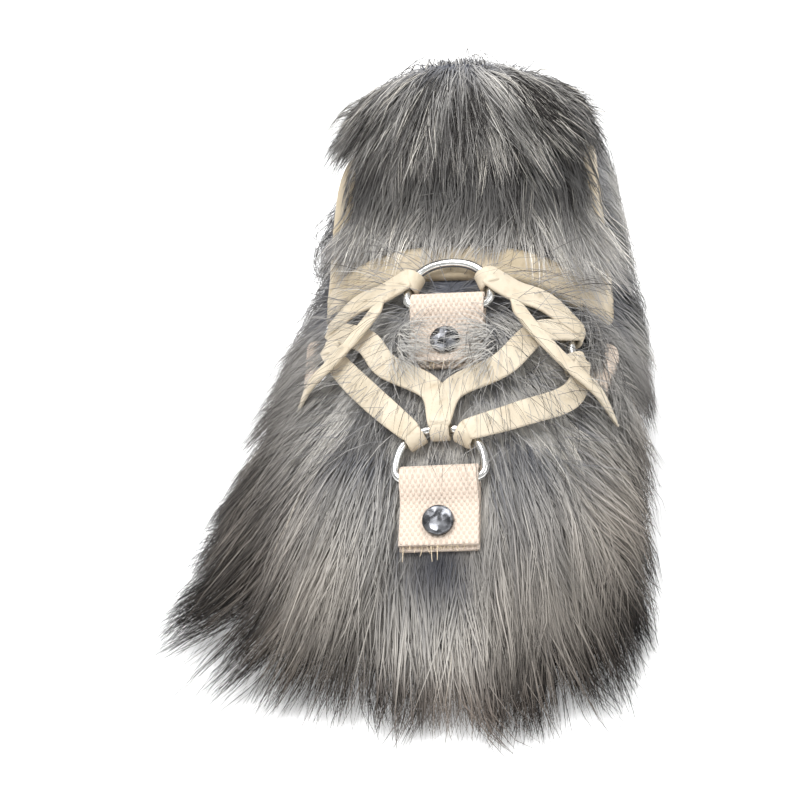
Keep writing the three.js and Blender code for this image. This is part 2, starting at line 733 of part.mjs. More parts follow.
// Places at one height above the feather line, from the toe along the inner side to the heel and back along
// the outer side, by their share of the way round
function contour(up) {
  const along = stations(ridgeStart(up), SOLE.length - UPPER.inset - 0.2, FORM.contourSteps);
  const sides = ["inner", "outer"].map((name) => {
    const turnAt = (y) => (name === "inner" ? turnAtHeight(y, up) : Math.PI - turnAtHeight(y, up));
    const places = along.map((y) => [y, turnAt(y)]);
    const points = places.map(([y, turn]) => skin(y, turn));
    const lengths = [0];
    for (let i = 1; i < points.length; i += 1) {
      lengths.push(lengths[i - 1] + points[i].distanceTo(points[i - 1]));
    }
    return { places, lengths, total: lengths[lengths.length - 1] };
  });
  return (share) => {
    const wrapped = share - Math.floor(share);
    const onInner = wrapped < 0.5;
    const { places, lengths, total } = sides[onInner ? 0 : 1];
    const length = 2 * (onInner ? wrapped : 1 - wrapped) * total;
    const [y, turn] = places[lengths.findIndex((reach) => reach >= length - 1e-6)];
    return { y, turn, name: onInner ? "inner" : "outer" };
  };
}

// The locks of the hem hang from low on the wall, out over the sole to just above the floor
function hemLocks() {
  const count = 2 * HEM.aSide;
  const at = contour(HEM.up);
  const spot = (share, i) => {
    const { y, turn, name } = at(share);
    const { point, normal } = skinFrame(y, turn);
    const out = vec(normal.x, normal.y, 0).normalize();
    const flare = hemFlare[name](y) * mix(0.86, 1.1, scatter(i, 1));
    const tip = point.clone().addScaledVector(out, flare);
    tip.z = HEM.tipHeight + HEM.tipSpread * scatter(i, 2);
    const slant = tip.clone().sub(point).normalize();
    const lying = vec(0, 0, 1).addScaledVector(slant, -slant.z).normalize();
    return { root: point.addScaledVector(normal, -LOCK.rootDepth), tip, lying };
  };
  const locks = Array.from({ length: count }, (_, i) => {
    const { root, tip, lying } = spot(i / count, i);
    return { root, crest: root.clone().lerp(tip, LOCK.crest).addScaledVector(lying, HEM.lift), tip };
  });
  const valleys = Array.from({ length: count }, (_, i) => {
    const { root, tip, lying } = spot((i - 0.5) / count, i + 0.5);
    const mid = root.clone().lerp(tip, LOCK.valley).addScaledVector(lying, HEM.lift * LOCK.valleyLift);
    return { root, mid, deep: lying.multiplyScalar(-HEM.thick) };
  });
  return fringe(locks, [...valleys, valleys[0]]);
}

const lowest = Math.min(...COLLAR_EDGE.map((row) => row.height));
const notch = COLLAR_EDGE.findIndex((row) => row.height === lowest);
const quarterHeight = curveThrough(COLLAR_EDGE.slice(notch), "at", "height");

// A row of locks over the vamp and the quarters
function bodyLocks(row) {
  const count = 2 * row.aSide;
  const at = contour(row.up);
  const lie = (share, reach, lift) => {
    const { y, turn } = at(share);
    const { point, normal } = skinFrame(y, turn);
    const heading = furHeading(point, normal);
    const half = walk(y, turn, heading, reach * LOCK.crest);
    const full = walk(...half, heading, reach * (1 - LOCK.crest));
    const bandFoot = quarterHeight(y) - BINDING.width - LOCK.bandMargin;
    const bound = y > row.to || (y > COLLAR_EDGE[notch - 1].at && point.z > bandFoot);
    const root = point.clone().addScaledVector(normal, -LOCK.rootDepth);
    return { root, normal, bound, half: above(...half, lift), full: above(...full, lift) };
  };
  const locks = Array.from({ length: count }, (_, i) => {
    const reach = row.length * mix(0.86, 1.14, scatter(i, row.up));
    const open = lie(i / count, reach, row.lift);
    const free = !open.bound && clearOfHardware([open.root, open.half, open.full]);
    const short = row.length * LOCK.buriedLength;
    const { root, half, full } = free ? open : lie(i / count, short, -LOCK.buried);
    return { root, crest: half, tip: full, free };
  });
  const valleys = Array.from({ length: count }, (_, i) => {
    const share = (i - 0.5) / count;
    const open = lie(share, (row.length * LOCK.valley) / LOCK.crest, row.lift * LOCK.valleyLift);
    const beside = locks[i].free && locks[(i + count - 1) % count].free;
    const free = beside && clearOfHardware([open.root, open.half]);
    const short = row.length * LOCK.buriedLength;
    const { root, half, normal } = free ? open : lie(share, short, -LOCK.buried);
    return { root, mid: half, deep: normal.multiplyScalar(-(free ? row.thick : LOCK.buried)) };
  });
  return fringe(locks, [...valleys, valleys[0]]);
}

// The room that the sole takes up, with a little air round it
function soleRoom() {
  const upright = [
    { inset: 0, up: 0 },
    { inset: 0, up: 1 },
  ];
  const below = (y) => soleUnder(y) - SOLE_CLEARANCE.below;
  return toSolid(soleSlab(upright, -SOLE_CLEARANCE.around, below, featherHeight));
}

// One hollow wall, open at the collar and underneath, with the fur's locks fused on and kept off the binding
function makeUpper() {
  const bindingRoom = spaceAboveCollar(-BINDING.width - 1).intersect(lastForm(LOCK.deepest));
  const fur = join([hemLocks(), ...LOCK_ROWS.map(bodyLocks)]).subtract(bindingRoom);
  const solid = lastForm(0)
    .add(fur)
    .subtract(lastForm(-UPPER.wall, UPPER.skirt))
    .subtract(spaceAboveCollar(0))
    .subtract(soleRoom());
  return toGeometry(largestBody(solid));
}

// The binding is cut between two larger forms of the last, and stands a little above the wall's edge
function makeBinding() {
  const strip = wallBetween(BINDING.thick + FIT_GAP, FIT_GAP)
    .intersect(spaceAboveCollar(-BINDING.width))
    .subtract(spaceAboveCollar(BINDING.thick));
  return toGeometry(largestBody(strip));
}

const tongueColumn = {};
for (const name of ["at", "height", "half", "drop", "back", "thick"]) {
  tongueColumn[name] = curveThrough(TONGUE_SECTIONS, "share", name);
}

// A place on the tongue: share from its root to its top, across from -1 to 1, and depth behind its front
function tonguePlace(share, across, depth = 0) {
  const t = tongueColumn;
  const step = 0.01;
  const lean = vec(
    0,
    t.at(share + step) - t.at(share - step),
    t.height(share + step) - t.height(share - step),
  ).normalize();
  const fall = across * across;
  return vec(
    t.half(share) * across,
    t.at(share) + t.back(share) * fall + lean.z * depth,
    t.height(share) - t.drop(share) * fall - lean.y * depth,
  );
}

// A row of locks across the tongue's front
function tongueLocks(row) {
  const lie = (across, i, reach) => {
    const root = tonguePlace(row.share, across, LOCK.rootDepth);
    const normal = vec(0.9 * across, -0.8, 0.6 - 0.2 * Math.abs(across)).normalize();
    const heading = vec(0.55 * across, -0.45, -0.8);
    heading.addScaledVector(normal, -heading.dot(normal)).normalize();
    const length = reach * row.length * mix(0.9, 1.1, scatter(i, row.share * 10));
    return { root, normal, heading, length };
  };
  const locks = Array.from({ length: row.count }, (_, i) => {
    const { root, normal, heading, length } = lie(row.spread * ((2 * (i + 0.5)) / row.count - 1), i, 1);
    const crest = root.clone().addScaledVector(heading, length * LOCK.crest);
    crest.addScaledVector(normal, row.lift);
    crest.z += row.rise;
    const tip = root.clone().addScaledVector(heading, length).addScaledVector(normal, row.lift * 0.8);
    return { root, crest, tip };
  });
  const valleys = Array.from({ length: row.count + 1 }, (_, i) => {
    const across = row.spread * ((2 * i) / row.count - 1);
    const { root, normal, heading, length } = lie(across, i + 0.5, LOCK.valley);
    const atEnd = i === 0 || i === row.count;
    const lift = atEnd ? 1 : row.lift * LOCK.valleyLift;
    const mid = root.clone().addScaledVector(heading, length).addScaledVector(normal, lift);
    mid.z += row.rise / 2;
    return { root, mid, deep: normal.clone().multiplyScalar(atEnd ? 0 : -row.thick) };
  });
  return fringe(locks, valleys);
}

function makeTongue() {
  const { tongueRows, tongueColumns } = FORM;
  const rows = Array.from({ length: tongueRows + 1 }, (_, i) => {
    const share = i / tongueRows;
    const acrosses = Array.from({ length: tongueColumns + 1 }, (_, k) => (2 * k) / tongueColumns - 1);
    const front = acrosses.map((across) => tonguePlace(share, across));
    const thick = tongueColumn.thick(share);
    const behind = acrosses.map((across) => tonguePlace(share, across, thick * (1 - 0.45 * across * across)));
    return [...front, ...behind.reverse()];
  });
  const clear = BINDING.thick + 2 * FIT_GAP;
  const keepOut = wallBetween(clear, -UPPER.wall - clear).subtract(spaceAboveCollar(clear));
  const solid = toSolid(loft(rows)).add(join(TONGUE_ROWS.map(tongueLocks))).subtract(keepOut);
  return toGeometry(largestBody(solid));
}

// Assembly

const finishes = {};
for (const [name, settings] of Object.entries(FINISHES)) {
  finishes[name] = new THREE.MeshStandardMaterial({ name, ...settings });
}

const shoe = new THREE.Group();

function place(name, geometry, finish) {
  const mesh = new THREE.Mesh(geometry, finishes[finish]);
  mesh.name = name;
  shoe.add(mesh);
  return mesh;
}

function stand(mesh, origin, xAxis, yAxis, zAxis) {
  mesh.quaternion.setFromRotationMatrix(new THREE.Matrix4().makeBasis(xAxis, yAxis, zAxis));
  mesh.position.copy(origin);
}

place("outsole", makeOutsole(), "rubber");
place("insole", makeInsole(), "footbed");
place("upper", makeUpper(), "fur");
place("tongue", makeTongue(), "fur");
place("collar_binding", makeBinding(), "leather");

for (const tab of TABS) {
  const { point, normal, pull, across } = tabFrame(tab);
  const seat = point.clone().addScaledVector(normal, WEBBING.seat);
  stand(place(`${tab.name}_tab`, makeTab(), "webbing"), seat, pull, normal, across);
  const axes = ringAxes(tab);
  stand(place(`${tab.name}_ring`, makeRing(), "nickel"), barCentre(tab), axes.across, axes.pull, axes.face);
  const head = seat
    .clone()
    .addScaledVector(normal, tabStack)
    .addScaledVector(pull, RIVET.fromEnd - WEBBING.length);
  stand(place(`${tab.name}_rivet`, makeRivet(), "darkNickel"), head, pull, normal, across);
}

place("lace", makeLace(), "leather");
for (const end of LACE_ENDS) place(end.name, makeLaceEnd(end), "leather");

// The origin is on the floor, in the middle of the shoe without the lace's free ends
const cords = LACE_ENDS.map((end) => end.name);
const body = new THREE.Box3();
shoe.updateMatrixWorld(true);
for (const mesh of shoe.children) if (!cords.includes(mesh.name)) body.expandByObject(mesh, true);
const centre = body.getCenter(vec(0, 0, 0));
shoe.position.set(-centre.x, -centre.y, -body.min.z);

const part = new THREE.Group();
part.add(shoe);

export default part;
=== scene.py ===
"""A fur clog for the right foot: the soft look, finishes, light and camera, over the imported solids.

Sizes are millimetres in the shoe's own axes: y from the toe to the heel, x towards the inner side of the
foot, z up from the floor. in_frame() turns them into the row's metres.
"""

import math

import bpy
import numpy as np
from mathutils import Matrix


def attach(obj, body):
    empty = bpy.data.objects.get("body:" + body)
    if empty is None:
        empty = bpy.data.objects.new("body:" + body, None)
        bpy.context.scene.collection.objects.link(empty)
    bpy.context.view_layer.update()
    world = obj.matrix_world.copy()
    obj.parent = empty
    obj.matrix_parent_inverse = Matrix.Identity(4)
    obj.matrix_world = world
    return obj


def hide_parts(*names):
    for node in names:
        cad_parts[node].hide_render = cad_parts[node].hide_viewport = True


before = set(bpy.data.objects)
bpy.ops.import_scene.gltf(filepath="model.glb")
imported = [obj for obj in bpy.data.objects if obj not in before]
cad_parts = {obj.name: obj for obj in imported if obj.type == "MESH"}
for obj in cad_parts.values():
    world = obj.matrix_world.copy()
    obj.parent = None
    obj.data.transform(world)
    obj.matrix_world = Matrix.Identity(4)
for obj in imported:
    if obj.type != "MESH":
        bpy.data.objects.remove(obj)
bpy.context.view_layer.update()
rng = np.random.default_rng(38)


# The shoe's tables


def table(columns, *rows):
    """Named columns of numbers, one row for each section."""
    return dict(zip(columns.split(), np.array(rows, float).T))


SOLE_LENGTH = 258
SOLE = table(
    "at outer inner under top",
    (0, 40, 41, 8, 25),
    (16, 42, 42, 3.2, 21),
    (40, 46, 45, 0, 18),
    (92, 50, 46, 0, 18),
    (116, 48, 40, 1.8, 19.5),
    (142, 42, 34, 4.2, 22),
    (166, 37, 32.5, 2, 24),
    (182, 35.5, 33, 0, 25),
    (222, 34.5, 34, 0, 26),
    (258, 33, 33, 0, 26),
)
SOLE_SIDE = table("inset up", (4.5, 0), (1.6, 0.1), (0.9, 0.3), (0.8, 0.5), (0, 0.82), (0.3, 0.95), (1, 1))
INSOLE_SIDE = table("inset up", (0, 0), (0, 0.6), (0.4, 0.88), (1.5, 1))
UPPER = table(
    "at outer inner ridge",
    (0, 42, 42, 33),
    (16, 44, 44, 42),
    (28, 46.5, 46, 49.5),
    (52, 50.5, 49, 65),
    (77, 53, 51, 81),
    (100, 54, 51.5, 95.5),
    (132, 51.5, 49, 163),
    (160, 46.5, 45, 190),
    (200, 41, 40.5, 200),
    (258, 38, 38, 200),
)
HEEL = table("height back", (20, 0), (50, 2.5), (80, 0.5), (108, -5), (140, -9), (220, -9))
COLLAR = table(
    "at height",
    (96, 105),
    (100, 96),
    (105, 84.5),
    (110, 75.5),
    (116, 71),
    (122, 78),
    (127, 94),
    (135, 107),
    (147, 111.5),
    (172, 109),
    (210, 105),
    (240, 107),
    (275, 111),
)
TONGUE = table(
    "share at height half drop back thick",
    (0, 79, 75, 24, 10, 0, 4),
    (0.26, 100, 88, 30, 13, 3, 5),
    (0.46, 110, 104, 35, 12, 7, 8),
    (0.68, 121, 122, 39, 8, 9, 9),
    (0.88, 131, 141, 36, 9, 9, 9),
    (1, 136, 149, 24, 6, 5, 6),
)
FIT_GAP, WELD_GAP_M = 0.35, 0.00002
TOE_ROUND, HEEL_ROUND, ROUNDNESS, TOE_SWING, SWING_END = 60, 38, 2.3, 6, 120
INSET, WALL, UPPER_HEEL_ROUND, TOE_RISE, SQUARENESS, BELLY, LEAN_START = 3, 2.8, 40, 24, 2.4, 34, 150
SPINE_FROM, SPINE_TO, STEEPEST_RIDGE = 60, 208, 1.3
INSOLE_INSET, INSOLE_TOE_INSET, INSOLE_THICK = 7.4, 5, 4
BINDING_WIDTH, BINDING_THICK, BINDING_INSIDE = 11, 1.4, 8
WEB_WIDTH, WEB_LENGTH, WEB_THICK, WEB_SEAT = 24, 22, 1.9, 0.55
RING_HALF, RING_HEIGHT, RING_SHOULDER, RING_WIRE, RING_CLEARANCE = 13.6, 16, 0.32, 1.5, 0.55
RIVET_HEAD, RIVET_DOME, RIVET_FROM_END, RIVET_SHANK = 4.75, 2.1, 8, 1.9
LACE_WIDTH, LACE_THICK, LACE_LIFT, LACE_CORNER, WRAP_WIDTH, WRAP_GAP = 7, 1.4, 6.6, 0.6, 6, 1
END_WIDTH, END_THICK, END_CORNER = 4.6, 1.6, 0.75
TABS = {
    "lower": (29, 90, "back", -4),
    "upper": (80, 90, "back", -4),
    "outer": (82, 145, "over", 9),
    "inner": (82, 33, "over", 9),
}
STRANDS = (
    (("lower", 128), ((53, 111), (67, 124)), ("outer", 55)),
    (("lower", 90), ((53, 92), (62, 106), (71, 113)), ("outer", 90)),
    (("upper", 160), ((86, 108), (86, 118)), ("outer", 90)),
    (("lower", 52), ((49, 66), (62, 48)), ("inner", 145)),
    (("lower", 90), ((53, 88), (62, 74), (75, 63)), ("inner", 90)),
    (("upper", 20), ((86, 72), (86, 62)), ("inner", 90)),
)
LACE_ENDS = {
    "lace_end_outer": ((82, 107, 8.2), (74, 113, 10), (67, 124, 10.5), (65, 134, 10.5), (64, 146, 9)),
    "lace_end_inner": ((82, 73, 8.2), (74, 66, 10), (67, 54, 10.5), (65, 42, 10.5), (64, 28, 9)),
}


# Curves and the last


def smooth_through(xs, ys):
    """A curve through the rows of a table that never swings past them: a line between two rows, bent by
    their slopes."""
    steps = np.diff(ys) / np.diff(xs)
    product = steps[:-1] * steps[1:]
    total = np.where(product > 0, steps[:-1] + steps[1:], 1)
    inside = np.where(product > 0, 2 * product / total, 0)
    slopes = np.concatenate([steps[:1], inside, steps[-1:]])

    def value(x):
        x = np.clip(x, xs[0], xs[-1])
        i = np.clip(np.searchsorted(xs, x) - 1, 0, len(steps) - 1)
        width = xs[i + 1] - xs[i]
        t = (x - xs[i]) / width
        bend = (slopes[i] - steps[i]) * (1 - t) - (slopes[i + 1] - steps[i]) * t
        return ys[i] + (ys[i + 1] - ys[i]) * t + width * t * (1 - t) * bend

    return value


def columns_of(rows, along):
    """A smooth curve for each column of a table, over one of its columns."""
    return {name: smooth_through(rows[along], rows[name]) for name in rows if name != along}


sole, upper, heel, tongue = (
    columns_of(SOLE, "at"),
    columns_of(UPPER, "at"),
    columns_of(HEEL, "height"),
    columns_of(TONGUE, "share"),
)


def ease(low, high, value):
    """From 0 at low to 1 at high, level at both."""
    t = np.clip((value - low) / (high - low), 0, 1)
    return t * t * (3 - 2 * t)


def fades(low, high, value):
    """From 1 at low to 0 at high, level at both."""
    return 1 - ease(low, high, value)


def band(value, rise, fall):
    """From 0 to 1 over one range, and back to 0 over another."""
    return ease(*rise, value) * fades(*fall, value)


def lerp(a, b, t):
    """From a at 0 to b at 1."""
    return a + (b - a) * t


def unit(v):
    """Vectors of length 1."""
    return v / np.maximum(np.linalg.norm(v, axis=-1, keepdims=True), 1e-9)


def dot(a, b):
    """The products of two sets of vectors, each in a column of its own."""
    return np.sum(a * b, axis=-1, keepdims=True)


def abreast(*parts):
    """Sets of numbers side by side, as points or vectors."""
    return np.stack(np.broadcast_arrays(*parts), axis=-1)


def span(v):
    """The lengths of vectors."""
    return np.linalg.norm(v, axis=-1)


def circle(count):
    """Angles spread evenly round a circle."""
    return np.linspace(0, 2 * math.pi, count, endpoint=False)


def middle(y):
    """The foot's middle line, which swings to the inner side at the toe."""
    return TOE_SWING * np.maximum(0, 1 - y / SWING_END) ** 2


def end_round(distance, length):
    """The share of full width this far from a rounded end: a superellipse over a length."""
    short = 1 - np.clip(distance / length, 0, 1)
    return (1 - short**ROUNDNESS) ** (1 / ROUNDNESS)


def feather_height(y):
    """The height of the upper's lower edge, a gap above the sole."""
    return sole["top"](y) + FIT_GAP


def section_rise(y, grow=0.0):
    """The ridge's height above the feather line, rounded down to nothing at the toe."""
    slope = np.minimum(STEEPEST_RIDGE, upper["ridge"](y + 0.5) - upper["ridge"](y - 0.5))
    ridge = upper["ridge"](y) + grow * np.hypot(1, slope)
    return (ridge - feather_height(y)) * end_round(y - INSET + grow, TOE_RISE + grow)


def skin(y, turn, grow=0.0):
    """The last's skin: a superellipse over each section, from the inner feather line at turn 0 to the outer
    one at pi, pulled in to the sole below the belly, and grown outwards."""
    y, turn = np.broadcast_arrays(np.asarray(y, float), np.asarray(turn, float))
    inner = np.cos(turn) >= 0
    width = np.where(inner, upper["inner"](y), upper["outer"](y))
    foot = np.where(inner, sole["inner"](y), sole["outer"](y))
    ends = end_round(y - INSET + grow, TOE_ROUND + grow)
    ends = ends * end_round(SOLE_LENGTH - INSET + grow - y, UPPER_HEEL_ROUND + grow)
    up = section_rise(y, grow) * np.maximum(0, np.sin(turn)) ** (2 / SQUARENESS)
    across = np.abs(np.cos(turn)) ** (2 / SQUARENESS)
    low = np.maximum(0, 1 - up / BELLY)
    taper = 1 - (1 - (foot - INSET) / width) * low * low
    x = middle(y) + np.where(inner, 1, -1) * (width + grow) * ends * across * taper
    z = feather_height(y) + up
    return abreast(x, y + heel["back"](z) * ease(LEAN_START, SOLE_LENGTH, y), z)


def skin_frame(y, turn):
    """The skin's point, outward normal and two slopes, along the shoe and over the section. Outwards is away
    from a spine along the sole."""
    point = skin(y, turn)
    along = (skin(y + 0.4, turn) - skin(y - 0.4, turn)) / 0.8
    over = (skin(y, turn + 0.01) - skin(y, turn - 0.01)) / 0.02
    normal = unit(np.cross(over, along))
    near = np.clip(point[..., 1], SPINE_FROM, SPINE_TO)
    spine = abreast(middle(near), near, sole["top"](near))
    normal = np.where(dot(normal, point - spine) < 0, -normal, normal)
    return point, normal, along, over


def above(y, turn, lift):
    """Places a lift above the skin."""
    point, normal, _, _ = skin_frame(y, turn)
    return point + normal * np.asarray(lift, float)[..., None]


def walk(y, turn, heading, distance):
    """The place a distance away along a heading, solved from the skin's two slopes."""
    _, _, along, over = skin_frame(y, turn)
    pairs = ((along, along), (over, over), (along, over), (heading, along), (heading, over))
    aa, oo, ao, ha, ho = (dot(*pair)[..., 0] for pair in pairs)
    det = np.maximum(aa * oo - ao * ao, 1e-6)
    return y + (ha * oo - ho * ao) / det * distance, turn + (ho * aa - ha * ao) / det * distance


def turn_at(y, up):
    """The inner side's turn at which a section is this far up from the feather line."""
    return np.arcsin(np.clip(up / np.maximum(section_rise(y), 1e-6), 0, 1) ** (SQUARENESS / 2))


def lengths_along(line, power=1):
    """How far along a line each of its points lies, with every step raised to a power."""
    return np.concatenate([[0], np.cumsum(span(np.diff(line, axis=0)) ** power)])


def read_along(at, places, rows):
    """Each column of some rows, read between their places."""
    return np.stack([np.interp(at, places, column) for column in np.asarray(rows).T], axis=-1)


def spaced(line, count):
    """A line's points spread evenly along its length."""
    length = lengths_along(line)
    return read_along(np.linspace(0, length[-1], count), length, line)


def spline(points, count):
    """A smooth line through points (Catmull-Rom on the roots of the chords), spaced evenly along it."""
    points = np.asarray(points, float)
    knots = lengths_along(points, 0.5)
    slopes = np.gradient(points, knots, axis=0)
    t = np.linspace(0, knots[-1], 40 * len(points))
    i = np.clip(np.searchsorted(knots, t) - 1, 0, len(knots) - 2)
    width = (knots[i + 1] - knots[i])[:, None]
    u = (t[:, None] - knots[i][:, None]) / width
    line = (
        (2 * u**3 - 3 * u**2 + 1) * points[i]
        + (u**3 - 2 * u**2 + u) * width * slopes[i]
        + (3 * u**2 - 2 * u**3) * points[i + 1]
        + (u**3 - u**2) * width * slopes[i + 1]
    )
    return spaced(line, count)


# Meshes

sole_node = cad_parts["outsole"]
sole_points = np.empty(len(sole_node.data.vertices) * 3)
sole_node.data.vertices.foreach_get("co", sole_points)
sole_points = sole_points.reshape(-1, 3)
ORIGIN = np.array([sole_points[sole_points[:, 1].argmax(), 0], sole_points[:, 1].min(), 0.0])


def in_frame(points):
    """Millimetres in the shoe's axes as metres in the row's frame."""
    return np.asarray(points, float) / 1000 + ORIGIN


def grid_faces(rows, columns, close_rows=False, close_columns=False):
    """The four-sided faces between neighbouring rows and columns of a grid."""
    r = np.arange(rows if close_rows else rows - 1)[:, None]
    c = np.arange(columns if close_columns else columns - 1)[None, :]
    nr, nc = (r + 1) % rows, (c + 1) % columns
    faces = abreast(r * columns + c, r * columns + nc, nr * columns + nc, nr * columns + c)
    return faces.reshape(-1, 4)


def tube(points, close_rows=False):
    """A grid of points with its faces, closed across its columns, and along its rows where asked."""
    return points, grid_faces(*points.shape[:2], close_rows, True)


def capped(points):
    """A tube with both ends closed: each end ring shrinks onto its own middle."""
    count = points.shape[1]
    first, last = (ring.mean(axis=0, keepdims=True).repeat(count, axis=0)[None] for ring in points[[0, -1]])
    return tube(np.concatenate([first, points, last]))


def joined(parts):
    """Several grids as one: their points one after another, and their faces moved on to match."""
    points = [p.reshape(-1, 3) for p, _ in parts]
    starts = np.cumsum([0, *(len(p) for p in points[:-1])])
    return np.concatenate(points), np.concatenate([f + s for (_, f), s in zip(parts, starts)])


def repeated(faces, count, points_each):
    """The faces of many like grids, one after another."""
    return (faces[None] + (np.arange(count) * points_each)[:, None, None]).reshape(-1, 4)


def back_half(faces, columns):
    """Marks the faces in the second half of each loop of a grid."""
    return np.arange(len(faces)) % columns >= columns // 2


def add_piece(name, points, faces, finish, uv=None, colour=None, lining=None):
    """A mesh from points in millimetres and four-sided faces, with its finish, and the lining's finish on the
    faces that are marked."""
    points = in_frame(np.asarray(points, float).reshape(-1, 3))
    mesh = bpy.data.meshes.new(name)
    mesh.vertices.add(len(points))
    mesh.vertices.foreach_set("co", points.ravel().astype(np.float32))
    mesh.loops.add(faces.size)
    mesh.loops.foreach_set("vertex_index", faces.ravel().astype(np.int32))
    mesh.polygons.add(len(faces))
    mesh.polygons.foreach_set("loop_start", np.arange(0, faces.size, faces.shape[1], dtype=np.int32))
    mesh.polygons.foreach_set("use_smooth", np.ones(len(faces), dtype=bool))
    mesh.update(calc_edges=True)
    if uv is not None:
        layer = mesh.uv_layers.new(name="UVMap" if colour is None else "OFBake")
        layer.data.foreach_set("uv", np.asarray(uv, np.float32).reshape(-1, 2)[faces.ravel()].ravel())
    if colour is not None:
        layer = mesh.attributes.new("hair_colour", "FLOAT_COLOR", "POINT")
        layer.data.foreach_set("color", colour.astype(np.float32).ravel())
    piece = bpy.data.objects.new(name, mesh)
    bpy.context.scene.collection.objects.link(piece)
    mesh.materials.append(finish)
    if lining is not None:
        mesh.materials.append(LINING)
        mesh.polygons.foreach_set("material_index", np.asarray(lining, np.int32))
    return piece


def fit(name, grid, finish, slot, *nodes, welded=False, **extras):
    """A piece of the shoe: it rides on the shoe, takes its finish (its slot is not used), stands for solids,
    and when welded is closed where its grid's edges meet."""
    piece = add_piece(name, *grid, finish, **extras)
    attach(piece, "root")
    if nodes:
        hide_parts(*nodes)
    if welded:
        piece.modifiers.new("weld", "WELD").merge_threshold = WELD_GAP_M
    return piece


def round_section(width, thick, corner, steps=4):
    """A flat bar's section with rounded corners, as offsets across and up."""
    angle = np.linspace(0, math.pi / 2, steps)
    corners = np.array([[1, 1], [-1, 1], [-1, -1], [1, -1]], float)
    centre = corners * (np.array([width, thick]) / 2 - corner)
    turned = angle[None, :] + (np.arange(4) * math.pi / 2)[:, None]
    arc = abreast(np.cos(turned), np.sin(turned)) * corner
    return (centre[:, None, :] + arc).reshape(-1, 2)


def scaled(section, across, up):
    """A section for each place along a path, scaled across and up."""
    return section[None] * abreast(across, up)[:, None, :]


def sweep(path, facing, section, closed=False):
    """A section carried along a path: each point is the path's point plus across and up shares of its own
    axes."""
    if closed:
        run = np.roll(path, -1, axis=0) - np.roll(path, 1, axis=0)
    else:
        run = np.gradient(path, axis=0)
    run = unit(run)
    across = unit(np.cross(run, facing))
    up = np.cross(across, run)
    section = np.broadcast_to(section, (len(path),) + section.shape[-2:])
    return path[:, None, :] + across[:, None, :] * section[..., :1] + up[:, None, :] * section[..., 1:]


def bar_uv(points):
    """Millimetres along and round a swept bar."""
    along = lengths_along(points.mean(axis=1))
    ring = lengths_along(points[len(points) // 2])
    return abreast(along[:, None], ring[None, :])


# Finishes


def linear(code):
    """A colour code as linear red, green, blue and alpha."""
    shares = np.array([int(code[i : i + 2], 16) for i in (0, 2, 4)]) / 255
    shares = np.where(shares <= 0.04045, shares / 12.92, ((shares + 0.055) / 1.055) ** 2.4)
    return (*shares.tolist(), 1.0)


def operator(operation, swapped=False):
    """A method that joins a field and another value by a Math node."""

    def method(self, other):
        pair = (other, self) if swapped else (self, other)
        return self.apply(operation, *pair)

    return method


class Field:
    """A number that changes over a surface. Its operators add Math nodes."""

    def __init__(self, finish, socket):
        self.finish, self.socket = finish, socket

    def apply(self, operation, *values):
        made = self.finish.node("ShaderNodeMath", {"operation": operation}, *values)
        return Field(self.finish, made.outputs[0])

    __add__, __radd__ = operator("ADD"), operator("ADD", swapped=True)
    __sub__, __rsub__ = operator("SUBTRACT"), operator("SUBTRACT", swapped=True)
    __mul__, __rmul__ = operator("MULTIPLY"), operator("MULTIPLY", swapped=True)

    def sine(self):
        return self.apply("SINE", self)

    def between(self, low, high):
        """0 below low, 1 above high, smooth in between."""
        limits = {"From Min": low, "From Max": high}
        smooth = {"interpolation_type": "SMOOTHSTEP"}
        return self.finish.field("ShaderNodeMapRange", smooth, Value=self, **limits)


class Finish:
    """A material with one shader, and the means to add fields that change over the surface."""

    def __init__(self, name, **constants):
        self.material = bpy.data.materials.new(name)
        self.material.use_nodes = True
        self.tree = self.material.node_tree
        self.shader = next(n for n in self.tree.nodes if n.type == "BSDF_PRINCIPLED")
        self.use(**constants)

    def node(self, kind, settings=None, *values, **named):
        """A node with its settings, and the values or links of its sockets."""
        made = self.tree.nodes.new(kind)
        for key, value in (settings or {}).items():
            setattr(made, key, value)
        for key, value in [*enumerate(values), *named.items()]:
            self.feed(made.inputs[key], value)
        return made

    def feed(self, socket, value):
        if isinstance(value, Field):
            value = value.socket
        if isinstance(value, bpy.types.NodeSocket):
            self.tree.links.new(value, socket)
        else:
            socket.default_value = value

    def field(self, kind, settings=None, **named):
        return Field(self, self.node(kind, settings, **named).outputs[0])

    def noise(self, scale, detail):
        return self.field("ShaderNodeTexNoise", Vector=self.place(), Scale=scale, Detail=detail)

    def place(self):
        return self.node("ShaderNodeTexCoord").outputs["Object"]

    def parts(self, vector):
        """The three numbers of a vector."""
        return [Field(self, part) for part in self.node("ShaderNodeSeparateXYZ", None, vector).outputs]

    def blend(self, share, a, b):
        made = self.node("ShaderNodeMix", {"data_type": "RGBA", "clamp_factor": True})
        for socket, value in ((0, share), (6, a), (7, b)):
            self.feed(made.inputs[socket], value)
        return made.outputs[2]

    def use(self, **fields):
        for socket, value in fields.items():
            self.feed(self.shader.inputs[socket.replace("_", " ")], value)
        return self

    def tint(self, share, a, b):
        """Colours the surface from one colour code to another by a share."""
        return self.use(Base_Color=self.blend(share, linear(a), linear(b)))

    def relief(self, height, distance):
        """Raises the surface by a field, a distance in metres at 1."""
        return self.use(Normal=self.node("ShaderNodeBump", None, Distance=distance, Height=height).outputs[0])


def fur_finish():
    """Soft dull hair, coloured along each hair."""
    finish = Finish("shaggy_fur", Roughness=0.62, Specular_IOR_Level=0.28)
    colour = finish.node("ShaderNodeAttribute", {"attribute_name": "hair_colour"}).outputs["Color"]
    return finish.use(Base_Color=colour).material


